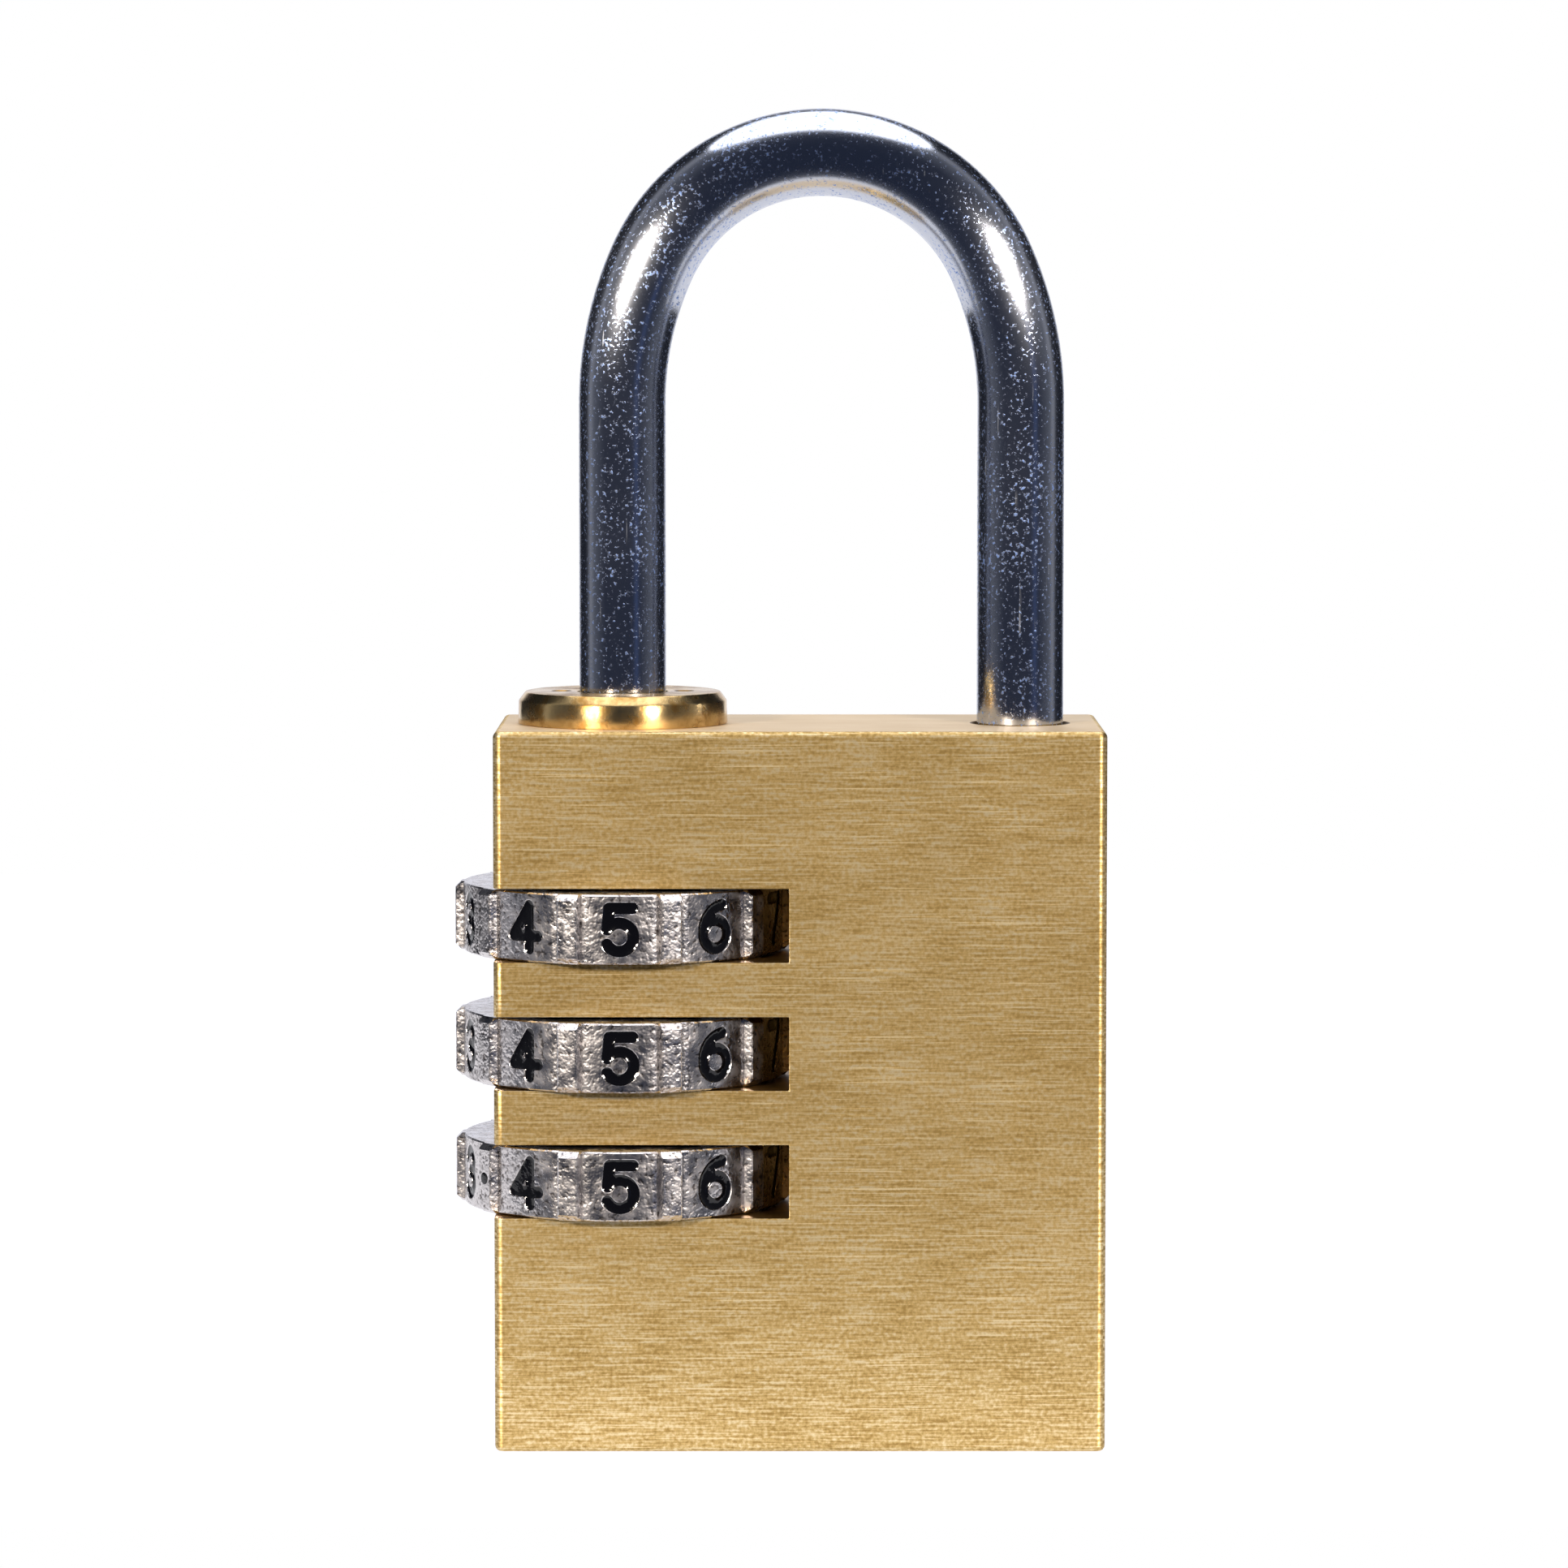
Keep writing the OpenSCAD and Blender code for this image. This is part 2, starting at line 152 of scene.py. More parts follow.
def cutRound(piece, profile, centreX, steps):
    # cuts a turned shape out of the piece
    bm = bmesh.new()
    lathe(bm, profile, centreX, steps, closed=False)
    carve(piece, meshObject("cutter", bm))


def arcPoints(centre, radius, startDeg, endDeg, count):
    # evenly spaced points along an arc in a plane
    angles = np.radians(np.linspace(startDeg, endDeg, count))
    return [(centre[0] + radius * math.cos(a), centre[1] + radius * math.sin(a)) for a in angles]


def place(piece, body, node):
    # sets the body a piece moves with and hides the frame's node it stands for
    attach(piece, body)
    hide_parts(node)


cameraSettings = {
    "place": (-0.785 * mm, -315.8 * mm, 57.3 * mm),
    "pitchDown": 4.5,  # degrees
    "lens": 146.1,  # mm
    "sensor": 36,  # mm
    "clip": (0.01, 20),  # m
}
cameraData = bpy.data.cameras.new("camera")
cameraData.lens = cameraSettings["lens"]
cameraData.sensor_width = cameraSettings["sensor"]
cameraData.clip_start, cameraData.clip_end = cameraSettings["clip"]
camera = bpy.data.objects.new("camera", cameraData)
camera.location = cameraSettings["place"]
camera.rotation_euler = (math.radians(90 - cameraSettings["pitchDown"]), 0, 0)
bpy.context.scene.collection.objects.link(camera)
bpy.context.scene.camera = camera
print("camera placed")


def newMaterial(name, colour, metallic, roughness):
    material = bpy.data.materials.new(name)
    material.use_nodes = True
    tree = material.node_tree
    shader = tree.nodes["Principled BSDF"]
    setInputs(shader, values={"Base Color": hexLinear(colour), "Metallic": metallic,
                              "Roughness": roughness})
    return material, tree, shader


brassFinish = {
    "dark": "#a0834c", "middle": "#cdaf73", "light": "#f3dfb2",
    "rough": (0.42, 0.52),
    "anisotropy": 0.5,
    "stroke": (2.0, 0.11),  # mm long and wide: grit marks, drawn twice as coarse as real
    "scratch": (7.0, 0.10),  # mm, the few deeper strokes
    "grit": 0.20,  # mm, torn grains between the strokes
    "cloud": (9.0, 3.2),  # mm, uneven belt pressure
    "strokeDepth": 0.0024 * mm,
    "gritDepth": 0.004 * mm,
    "weights": {"stroke": 1.1, "cloud": 0.3, "scratch": 0.28},  # against 1.0 for the grit
    "scratchCut": (0.60, 0.72),  # only the noise's peaks make scratches
    "shadeSpan": (0.93, 1.50),  # summed pattern from the darkest brass to the lightest
    "satinSpan": (0.8, 1.3),  # stroke pattern from the roughest brass to the smoothest
}
acrossMarks = 0.25  # a quarter turn: highlights spread across the tool marks
noiseMiddle = (0.3, 0.7)  # where most of a noise's values lie


def perMetre(*sizes):
    # pattern cycles per metre for feature sizes in millimetres
    return [1000.0 / size for size in sizes] + [1.0] * (3 - len(sizes))


def span(source, result=(0.0, 1.0)):
    # the four ends of a map range node
    return {"From Min": source[0], "From Max": source[1], "To Min": result[0], "To Max": result[1]}


def brushedBrass(name, finish):
    # CuZn39 brass, belt brushed level round its sides: satin, with short broken strokes
    material, tree, shader = newMaterial(name, finish["middle"], 1.0, 0.46)
    uv = addNode(tree, "UVMap", give="UV", uv_map="grain")
    noises = {}
    for pattern, detail in (("stroke", 2.0), ("scratch", 1.0), ("cloud", 3.0)):
        scaled = addNode(tree, "VectorMath", {0: uv}, {1: perMetre(*finish[pattern])}, 0,
                         operation="MULTIPLY")
        noises[pattern] = addNode(tree, "TexNoise", {"Vector": scaled},
                                  {"Scale": 1.0, "Detail": detail}, "Fac")
    gritty = addNode(tree, "TexNoise", {"Vector": uv},
                     {"Scale": 1000.0 / finish["grit"], "Detail": 2.0}, "Fac")
    weights = finish["weights"]
    deep = addNode(tree, "MapRange", {"Value": noises["scratch"]},
                   span(finish["scratchCut"]), "Result")
    base = addNode(tree, "Math", {0: noises["stroke"], 2: gritty}, {1: weights["stroke"]}, 0,
                   operation="MULTIPLY_ADD")
    uneven = addNode(tree, "Math", {0: noises["cloud"], 2: base}, {1: weights["cloud"]}, 0,
                     operation="MULTIPLY_ADD")
    marked = addNode(tree, "Math", {0: deep, 2: uneven}, {1: weights["scratch"]}, 0,
                     operation="MULTIPLY_ADD")
    shade = addNode(tree, "MapRange", {"Value": marked}, span(finish["shadeSpan"]), "Result")
    colour = addNode(tree, "ValToRGB", {"Fac": shade}, give="Color",
                     stops=[(0.0, finish["dark"]), (0.48, finish["middle"]), (1.0, finish["light"])])
    satin = addNode(tree, "MapRange", {"Value": base},
                    span(finish["satinSpan"], finish["rough"][::-1]), "Result")
    torn = addNode(tree, "Bump", {"Height": gritty}, {"Distance": finish["gritDepth"]}, "Normal")
    stroked = addNode(tree, "Bump", {"Height": noises["stroke"], "Normal": torn},
                      {"Distance": finish["strokeDepth"]}, "Normal")
    tangent = addNode(tree, "Tangent", give="Tangent", direction_type="UV_MAP", uv_map="grain")
    setInputs(shader,
              {"Base Color": colour, "Roughness": satin, "Normal": stroked, "Tangent": tangent},
              {"Anisotropic": finish["anisotropy"], "Anisotropic Rotation": acrossMarks})
    return material


lappedPaintedSheenFinish = {
    # the pale colours below are painted sheen: the same brass as the sides, lightened for faces lit
    # from above
    "low": "#e4cba4", "high": "#eedabb", "rough": (0.52, 0.58),
    "cloud": (3.8, 2.0, 2.5),  # mm
    "lap": (1.4, 0.2, 1.4),  # mm, lapping marks 0.2 mm apart
    "lapDepth": 0.0025 * mm,
}


def lappedBrassPaintedSheen(name, finish):
    # top and bottom faces lapped flat: more even than the sides, with a faint cloud of wear; their
    # paler colour than the sides' brass is a painted sheen of the overhead light
    material, tree, shader = newMaterial(name, finish["low"], 1.0, 0.36)
    point = addNode(tree, "TexCoord", give="Object")
    noises = []
    for pattern in ("cloud", "lap"):
        scaled = addNode(tree, "VectorMath", {0: point}, {1: perMetre(*finish[pattern])}, 0,
                         operation="MULTIPLY")
        noises.append(addNode(tree, "TexNoise", {"Vector": scaled},
                              {"Scale": 1.0, "Detail": 3.0}, "Fac"))
    cloud, lap = noises
    colour = addNode(tree, "ValToRGB", {"Fac": cloud}, give="Color",
                     stops=[(0.25, finish["low"]), (0.75, finish["high"])])
    sheen = addNode(tree, "MapRange", {"Value": cloud}, span(noiseMiddle, finish["rough"]), "Result")
    ridged = addNode(tree, "Bump", {"Height": lap}, {"Distance": finish["lapDepth"]}, "Normal")
    setInputs(shader, {"Base Color": colour, "Roughness": sheen, "Normal": ridged})
    return material


milledPaintedShadeFinish = {
    # dark and light are brass darkened as painted shade for the slots, bore and holes
    "dark": "#6d4f22", "light": "#ad8543", "rough": 0.34,
    "toolMark": (3.3, 3.3, 0.19),  # mm, the cutter's marks on the slot walls
    "toolDepth": 0.006 * mm,
}


def milledBrassPaintedShade(name, finish):
    # slot walls left as the slitting cutter made them, with fine level tool marks; their darker
    # colour is painted shade for the slots and holes
    material, tree, shader = newMaterial(name, finish["light"], 1.0, finish["rough"])
    point = addNode(tree, "TexCoord", give="Object")
    scaled = addNode(tree, "VectorMath", {0: point}, {1: perMetre(*finish["toolMark"])}, 0,
                     operation="MULTIPLY")
    marks = addNode(tree, "TexNoise", {"Vector": scaled}, {"Scale": 1.0, "Detail": 2.0}, "Fac")
    colour = addNode(tree, "ValToRGB", {"Fac": marks}, give="Color",
                     stops=[(0.25, finish["dark"]), (0.75, finish["light"])])
    ridged = addNode(tree, "Bump", {"Height": marks}, {"Distance": finish["toolDepth"]}, "Normal")
    setInputs(shader, {"Base Color": colour, "Normal": ridged})
    return material


collarFinish = {
    "dark": "#b98d4c", "light": "#e8c78a", "rough": (0.20, 0.32), "anisotropy": 0.8,
    "stain": 1.1,  # mm, patches where the lacquer has dulled
    "stainDepth": 0.016 * mm,
    "turning": (12.0, 12.0, 0.12),  # mm, turning marks round the axis
    "turningDepth": 0.001 * mm,
}
sleeveFinish = dict(collarFinish, dark="#a98242", light="#d2ab62", rough=(0.24, 0.36))


def turnedBrass(name, finish):
    # brass turned on the lathe and polished: bright, with hairline turning marks and dull patches
    material, tree, shader = newMaterial(name, finish["light"], 1.0, 0.28)
    point = addNode(tree, "TexCoord", give="Object")
    stain = addNode(tree, "TexNoise", {"Vector": point},
                    {"Scale": 1000.0 / finish["stain"], "Detail": 4.0, "Roughness": 0.62}, "Fac")
    scaled = addNode(tree, "VectorMath", {0: point}, {1: perMetre(*finish["turning"])}, 0,
                     operation="MULTIPLY")
    turning = addNode(tree, "TexNoise", {"Vector": scaled}, {"Scale": 1.0, "Detail": 1.0}, "Fac")
    colour = addNode(tree, "ValToRGB", {"Fac": stain}, give="Color",
                     stops=[(0.36, finish["dark"]), (0.56, finish["light"])])
    sheen = addNode(tree, "MapRange", {"Value": stain},
                    span(noiseMiddle, finish["rough"][::-1]), "Result")
    waved = addNode(tree, "Bump", {"Height": stain}, {"Distance": finish["stainDepth"]}, "Normal")
    ringed = addNode(tree, "Bump", {"Height": turning, "Normal": waved},
                     {"Distance": finish["turningDepth"]}, "Normal")
    tangent = addNode(tree, "Tangent", give="Tangent", direction_type="RADIAL", axis="Z")
    setInputs(shader,
              {"Base Color": colour, "Roughness": sheen, "Normal": ringed, "Tangent": tangent},
              {"Anisotropic": finish["anisotropy"], "Anisotropic Rotation": acrossMarks})
    return material


chromeFinish = {
    # the pinholes' blue colour is a painted glint, not a colour of the plating
    "colour": "#c6cad4", "speckPaintedGlint": "#8aa9e6", "rough": (0.13, 0.17), "anisotropy": 0.85,
    "speckSize": 0.17,  # mm, pinholes in the plating
    "speckRough": 0.30,
    "speckDepth": 0.0020 * mm,
    "patch": (3.8, 3.8, 6.6),  # mm, drifts of pinholes
    "hair": (0.19, 0.19, 3.8),  # mm, hairline scratches from use
    "hairTilt": (0.3, 0.9, 0.2),
    "hairRough": 0.2,
    "patchWeight": 0.3,  # against 1.0 for the pinholes
    "speckCut": (0.71, 0.87),  # only the noise's peaks make pinholes
    "hairCut": (0.72, 0.80),
}


def platedChrome(name, finish):
    # hard chromium over ground steel: a dark mirror with drifts of glinting pinholes and hairlines;
    # real pinholes are finer, and are drawn coarse enough to show; their blue tint is a painted glint
    material, tree, shader = newMaterial(name, finish["colour"], 1.0, 0.15)
    point = addNode(tree, "TexCoord", give="Object")
    specks = addNode(tree, "TexNoise", {"Vector": point},
                     {"Scale": 1000.0 / finish["speckSize"], "Detail": 2.0, "Roughness": 0.6}, "Fac")
    scaled = addNode(tree, "VectorMath", {0: point}, {1: perMetre(*finish["patch"])}, 0,
                     operation="MULTIPLY")
    patches = addNode(tree, "TexNoise", {"Vector": scaled}, {"Scale": 1.0, "Detail": 3.0}, "Fac")
    tilted = addNode(tree, "Mapping", {"Vector": point},
                     {"Rotation": finish["hairTilt"], "Scale": perMetre(*finish["hair"])}, "Vector")
    hairs = addNode(tree, "TexNoise", {"Vector": tilted}, {"Scale": 1.0, "Detail": 1.0}, "Fac")
    drifted = addNode(tree, "Math", {0: patches, 2: specks}, {1: finish["patchWeight"]}, 0,
                      operation="MULTIPLY_ADD")
    sparse = addNode(tree, "MapRange", {"Value": drifted}, span(finish["speckCut"]), "Result")
    hairline = addNode(tree, "MapRange", {"Value": hairs}, span(finish["hairCut"]), "Result")
    # pinholes tinted blue: real pits, with a painted bluish glint
    colour = addNode(tree, "ValToRGB", {"Fac": sparse}, give="Color",
                     stops=[(0.0, finish["colour"]), (1.0, finish["speckPaintedGlint"])])
    mirror = addNode(tree, "MapRange", {"Value": patches},
                     span(noiseMiddle, finish["rough"]), "Result")
    hazed = addNode(tree, "Math", {0: sparse, 2: mirror}, {1: finish["speckRough"]}, 0,
                    operation="MULTIPLY_ADD")
    scratched = addNode(tree, "Math", {0: hairline, 2: hazed}, {1: finish["hairRough"]}, 0,
                        operation="MULTIPLY_ADD")
    pitted = addNode(tree, "Bump", {"Height": sparse}, {"Distance": finish["speckDepth"]}, "Normal")
    tangent = addNode(tree, "Tangent", give="Tangent", direction_type="UV_MAP", uv_map="grain")
    setInputs(shader,
              {"Base Color": colour, "Roughness": scratched, "Normal": pitted, "Tangent": tangent},
              {"Anisotropic": finish["anisotropy"], "Anisotropic Rotation": acrossMarks})
    return material


zincFinish = {
    "colour": "#dcd7d6", "pit": "#7d7775", "rough": (0.18, 0.34),
    "grain": 0.23,  # mm, the casting's grain, drawn coarser than real
    "grainDepth": 0.030 * mm,
    "lump": 0.8,  # mm, flow marks under the plating
    "lumpDepth": 0.016 * mm,
}


def platedZinc(name, finish):
    # die cast zinc, nickel plated: bright, with the casting's grain breaking up every highlight
    material, tree, shader = newMaterial(name, finish["colour"], 1.0, 0.2)
    point = addNode(tree, "TexCoord", give="Object")
    grain, lumps = [addNode(tree, "TexNoise", {"Vector": point},
                            {"Scale": 1000.0 / finish[size], "Detail": 1.0}, "Fac")
                    for size in ("grain", "lump")]
    colour = addNode(tree, "ValToRGB", {"Fac": grain}, give="Color",
                     stops=[(0.30, finish["pit"]), (0.43, finish["colour"])])
    sheen = addNode(tree, "MapRange", {"Value": lumps}, span(noiseMiddle, finish["rough"]), "Result")
    rolling = addNode(tree, "Bump", {"Height": lumps}, {"Distance": finish["lumpDepth"]}, "Normal")
    grainy = addNode(tree, "Bump", {"Height": grain, "Normal": rolling},
                     {"Distance": finish["grainDepth"]}, "Normal")
    setInputs(shader, {"Base Color": colour, "Roughness": sheen, "Normal": grainy})
    return material


enamelFinish = {
    "colour": "#08080b", "rough": 0.10, "ior": 1.48,
    "bead": 0.42,  # mm
    "beadDepth": 0.03 * mm,
}


def blackEnamel(name, finish):
    # stoved enamel wiped into the digits: deep gloss black that pulls into small beads
    material, tree, shader = newMaterial(name, finish["colour"], 0.0, finish["rough"])
    point = addNode(tree, "TexCoord", give="Object")
    beads = addNode(tree, "TexNoise", {"Vector": point},
                    {"Scale": 1000.0 / finish["bead"], "Detail": 2.0, "Roughness": 0.55}, "Fac")
    beaded = addNode(tree, "Bump", {"Height": beads}, {"Distance": finish["beadDepth"]}, "Normal")
    setInputs(shader, {"Normal": beaded}, {"IOR": finish["ior"]})
    return material


wireFinish = {
    "colour": "#8b8d92", "rough": (0.20, 0.42),
    "film": 0.67,  # mm, drops and smears of oil
    "filmDepth": 0.006 * mm,
}
sheetFinish = dict(wireFinish, colour="#9a9ca0")


def oiledSteel(name, finish):
    # drawn wire or stamped sheet steel under a film of oil: grey, half bright
    material, tree, shader = newMaterial(name, finish["colour"], 1.0, 0.3)
    point = addNode(tree, "TexCoord", give="Object")
    film = addNode(tree, "TexNoise", {"Vector": point},
                   {"Scale": 1000.0 / finish["film"], "Detail": 3.0, "Roughness": 0.6}, "Fac")
    sheen = addNode(tree, "MapRange", {"Value": film}, span(noiseMiddle, finish["rough"]), "Result")
    filmed = addNode(tree, "Bump", {"Height": film}, {"Distance": finish["filmDepth"]}, "Normal")
    setInputs(shader, {"Roughness": sheen, "Normal": filmed})
    return material


brushed = brushedBrass("brushedBrass", brassFinish)
lappedPaintedSheen = lappedBrassPaintedSheen("lappedBrassPaintedSheen", lappedPaintedSheenFinish)
milledPaintedShade = milledBrassPaintedShade("milledBrassSlotPaintedShade", milledPaintedShadeFinish)
collarBrass = turnedBrass("turnedBrassPolished", collarFinish)
sleeveBrass = turnedBrass("turnedBrass", sleeveFinish)
chrome = platedChrome("platedChrome", chromeFinish)
zinc = platedZinc("platedZinc", zincFinish)
enamel = blackEnamel("blackEnamel", enamelFinish)
wireSteel = oiledSteel("drawnSpringSteel", wireFinish)
sheetSteel = oiledSteel("stampedSteel", sheetFinish)
print("materials made")


blockSettings = {
    "edgeRadius": 0.42 * mm,  # long edges, rounded over by the belt
    "rimRadius": 0.30 * mm,  # top and bottom rims
    "slotRadius": 10.5 * mm,  # reach of the slitting cutter round the spindle
    "slotPlay": 0.2 * mm,  # slot height over the dial's height
    "slotEdge": 0.06 * mm,  # tiny break of the slot edges
    "boreRadius": 3.95 * mm,
    "seatRadius": 4.35 * mm,
    "grooveRadius": 4.55 * mm,  # click spring grooves
    "grooveHeight": 0.7 * mm,
    "seatGap": 0.1 * mm,  # under the collar's spigot
    "springGap": 0.02 * mm,  # under the reset spring
    "legHoleRadius": 2.35 * mm,
    "legHoleDepth": 4.5 * mm,
    "legHoleBreak": 0.15 * mm,
    "slotBelowDial": 0.05 * mm,
    "skin": 0.02 * mm,  # how near a face's middle lies to the outer box
}
shackleRadius = 2.15 * mm


def slotHeights(name):
    low, high = dialBoxes[name]
    bottom = low.z - blockSettings["slotBelowDial"]
    return bottom, bottom + (high.z - low.z) + blockSettings["slotPlay"]


def makeBlock(s):
    # a block with rounded edges, cut by the slots, bore and spring grooves, then by the leg's hole
    bm = bmesh.new()
    size = brassHigh - brassLow
    middle = (brassHigh + brassLow) / 2
    bmesh.ops.create_cube(bm, size=1, matrix=Matrix.Translation(middle) @ Matrix.Diagonal((*size, 1)))
    upright = [e for e in bm.edges if abs(e.verts[0].co.z - e.verts[1].co.z) > 1 * mm]
    bmesh.ops.bevel(bm, geom=upright, offset=s["edgeRadius"], segments=6, profile=0.5, affect="EDGES")
    rims = [e for e in bm.edges if abs(e.verts[0].co.z - e.verts[1].co.z) < 0.01 * mm
            and len(e.link_faces) == 2 and abs(e.calc_face_angle() - math.pi / 2) < 0.1]
    bmesh.ops.bevel(bm, geom=rims, offset=s["rimRadius"], segments=4, profile=0.5, affect="EDGES")
    block = meshObject("brassBody", bm)

    pitch = dialBoxes["top"][0].z - dialBoxes["middle"][0].z
    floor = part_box("reset_spring")[0].z - s["springGap"]
    bore, ringRadius, reach = s["boreRadius"], s["grooveRadius"], s["slotRadius"]
    profile = [(0, floor), (bore, floor)]
    for name in reversed(dialNames):
        low, high = slotHeights(name)
        grooveLow = (low + high - pitch - s["grooveHeight"]) / 2
        grooveHigh = grooveLow + s["grooveHeight"]
        profile += [(bore, grooveLow), (ringRadius, grooveLow), (ringRadius, grooveHigh),
                    (bore, grooveHigh), (bore, low), (reach, low), (reach, high), (bore, high)]
    seat = collarLow.z - s["seatGap"]
    above = bodyTop + 1 * mm
    profile += [(bore, seat), (s["seatRadius"], seat), (s["seatRadius"], above), (0, above)]
    cutRound(block, profile, spindleX, 160)

    hole, bottom, rim = s["legHoleRadius"], bodyTop - s["legHoleDepth"], s["legHoleBreak"]
    profile = [(0, bottom), (hole, bottom), (hole, bodyTop - rim), (hole + 2 * rim, bodyTop + rim),
               (0, bodyTop + rim)]
    cutRound(block, profile, shackleHigh.x - shackleRadius, 96)

    edges = block.modifiers.new("edges", "BEVEL")
    edges.width = s["slotEdge"]
    edges.segments = 2
    edges.limit_method = "ANGLE"
    edges.angle_limit = math.radians(50)
    bakeModifiers(block)
    return block


def finishBlock(block):
    # brushed sides and edges, lapped ends in a paler brass that is painted sheen, milled slots and
    # holes in a darker brass that is painted shade
    mesh = block.data
    mesh.materials.clear()
    for material in (brushed, lappedPaintedSheen, milledPaintedShade):
        mesh.materials.append(material)
    grain = mesh.uv_layers.new(name="grain")
    reach = max(blockSettings["edgeRadius"], blockSettings["rimRadius"]) + 0.01 * mm
    skin = blockSettings["skin"]
    for face in mesh.polygons:
        n, c = face.normal, face.center
        depths = [min(c[k] - brassLow[k], brassHigh[k] - c[k]) for k in range(3)]
        rounded = sum(depth < reach for depth in depths) > 1
        if depths[2] < skin and abs(n.z) > 0.999:
            # top and bottom take the paler brass, a painted sheen
            face.material_index = 1
        elif rounded or min(depths[:2]) < skin:
            face.material_index = 0
        else:
            # slots, bore and leg hole take the darker brass, painted shade
            face.material_index = 2
        # the strokes run level round the sides; an offset keeps opposite faces from matching
        for loop in face.loop_indices:
            p = mesh.vertices[mesh.loops[loop].vertex_index].co
            if abs(n.x) > 0.7:
                uv = (p.y + (0.3 if n.x > 0 else 0.4), p.z + 0.2)
            elif abs(n.y) > 0.7 or abs(n.z) < 0.7:
                uv = (p.x + (0.1 if n.y > 0 else 0.0), p.z)
            else:
                uv = (p.x + 0.5, p.y + (0.1 if n.z > 0 else 0.0))
            grain.data[loop].uv = uv


block = makeBlock(blockSettings)
finishBlock(block)
block.data.set_sharp_from_angle(angle=math.radians(40))
weighted = block.modifiers.new("normals", "WEIGHTED_NORMAL")  # keeps the broad faces truly flat
weighted.keep_sharp = True
bakeModifiers(block)
place(block, "lock_body", "body")
print("brass body made:", len(block.data.polygons), "faces")


shackleSettings = {
    "barRadius": shackleRadius,
    "crownTighten": 0.675 * mm,  # crown bend against a half circle
    "shoulderEase": 7.8 * mm,  # shoulder bends against the crown bend
    "tipBevel": 0.4 * mm,
    "legInsert": 4.4 * mm,  # how deep the short leg sits
    "clipGroove": 0.45 * mm,
    "belowClip": 0.3 * mm,  # full bar left under the clip
    "coreRadius": 1.45 * mm,
    "coreBreak": 0.1 * mm,
    "coreEnd": 1.0 * mm,  # below the washer's underside
    "sides": 72,
    "finHeights": (-2.8 * mm, -0.6 * mm),  # from the middle of a slot
    "finRadii": (1.2 * mm, 2.13 * mm),
    "finHalfAngle": 16,  # degrees
}


def makeShackle(s):
    # a round bar swept up the short leg, over the bend and down the long leg to its core
    r = s["barRadius"]
    rightX = shackleHigh.x - r
    leftX = shackleLow.x + r
    middleX = (leftX + rightX) / 2
    half = (rightX - leftX) / 2
    crown = half - s["crownTighten"]
    shoulder = crown + s["shoulderEase"]
    turn = math.acos((s["shoulderEase"] - s["crownTighten"]) / s["shoulderEase"])
    rise = s["shoulderEase"] * math.sin(turn)
    springZ = shackleHigh.z - r - crown - rise
    turnDeg = math.degrees(turn)
    path = arcPoints((middleX + half - shoulder, springZ), shoulder, 0, turnDeg, 22)[:-1]
    path += arcPoints((middleX, springZ + rise), crown, turnDeg, 180 - turnDeg, 72)
    path += arcPoints((middleX - half + shoulder, springZ), shoulder, 180 - turnDeg, 180, 22)[1:]
    tipZ = bodyTop - s["legInsert"]
    clipLow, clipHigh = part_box("retaining_clip")
    shoulderZ = clipLow.z - s["belowClip"]
    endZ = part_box("thrust_washer")[0].z - s["coreEnd"]
    neck = r - s["clipGroove"]
    soft = s["coreBreak"]

    rings = [((rightX, tipZ), r - s["tipBevel"]), ((rightX, tipZ + s["tipBevel"]), r)]
    rings += [((rightX, z), r) for z in np.linspace(tipZ + s["tipBevel"], springZ, 12)[1:]]
    rings += [(p, r) for p in path[1:]]
    rings += [((leftX, z), r) for z in np.linspace(springZ, clipHigh.z, 14)[1:]]
    rings += [((leftX, clipHigh.z), neck), ((leftX, clipLow.z), neck), ((leftX, clipLow.z), r),
              ((leftX, shoulderZ + soft), r), ((leftX, shoulderZ), r - soft),
              ((leftX, shoulderZ), s["coreRadius"]), ((leftX, endZ + soft), s["coreRadius"]),
              ((leftX, endZ), s["coreRadius"] - soft)]

    bm = bmesh.new()
    loops = []
    centres = [Vector((x, 0, z)) for (x, z), _ in rings]
    for i, (_, radius) in enumerate(rings):
        here = centres[i]
        after = next((c for c in centres[i + 1:] if (c - here).length > 1e-7), None)
        before = next((c for c in reversed(centres[:i]) if (c - here).length > 1e-7), None)
        ahead = ((after or here) - (before or here)).normalized()
        across = Vector((0, 1, 0))
        upward = ahead.cross(across)
        loops.append([bm.verts.new(here + radius * (math.cos(a) * across + math.sin(a) * upward))
                      for a in (2 * math.pi * k / s["sides"] for k in range(s["sides"]))])
    for low, high in zip(loops, loops[1:]):
        bridge(bm, low, high)
    bm.faces.new(loops[0])
    bm.faces.new(loops[-1])
    bar = meshObject("shackleBar", bm, 35)
    bar.data.materials.append(chrome)
    return bar


def runGrain(bar):
    # a grain map whose first direction runs along the bar, so that polishing lines follow its bend
    grain = bar.data.uv_layers.new(name="grain")
    middleX = (shackleLow.x + shackleHigh.x) / 2
    bend = (shackleHigh.x - shackleLow.x) / 2
    springZ = shackleHigh.z - bend
    for item in bar.data.loops:
        p = bar.data.vertices[item.vertex_index].co
        side = math.copysign(1.0, p.x - middleX)
        if p.z > springZ:
            along = math.atan2(p.x - middleX, p.z - springZ) * bend
        else:
            along = side * (math.pi / 2 * bend + springZ - p.z)
        grain.data[item.index].uv = (along, p.y)


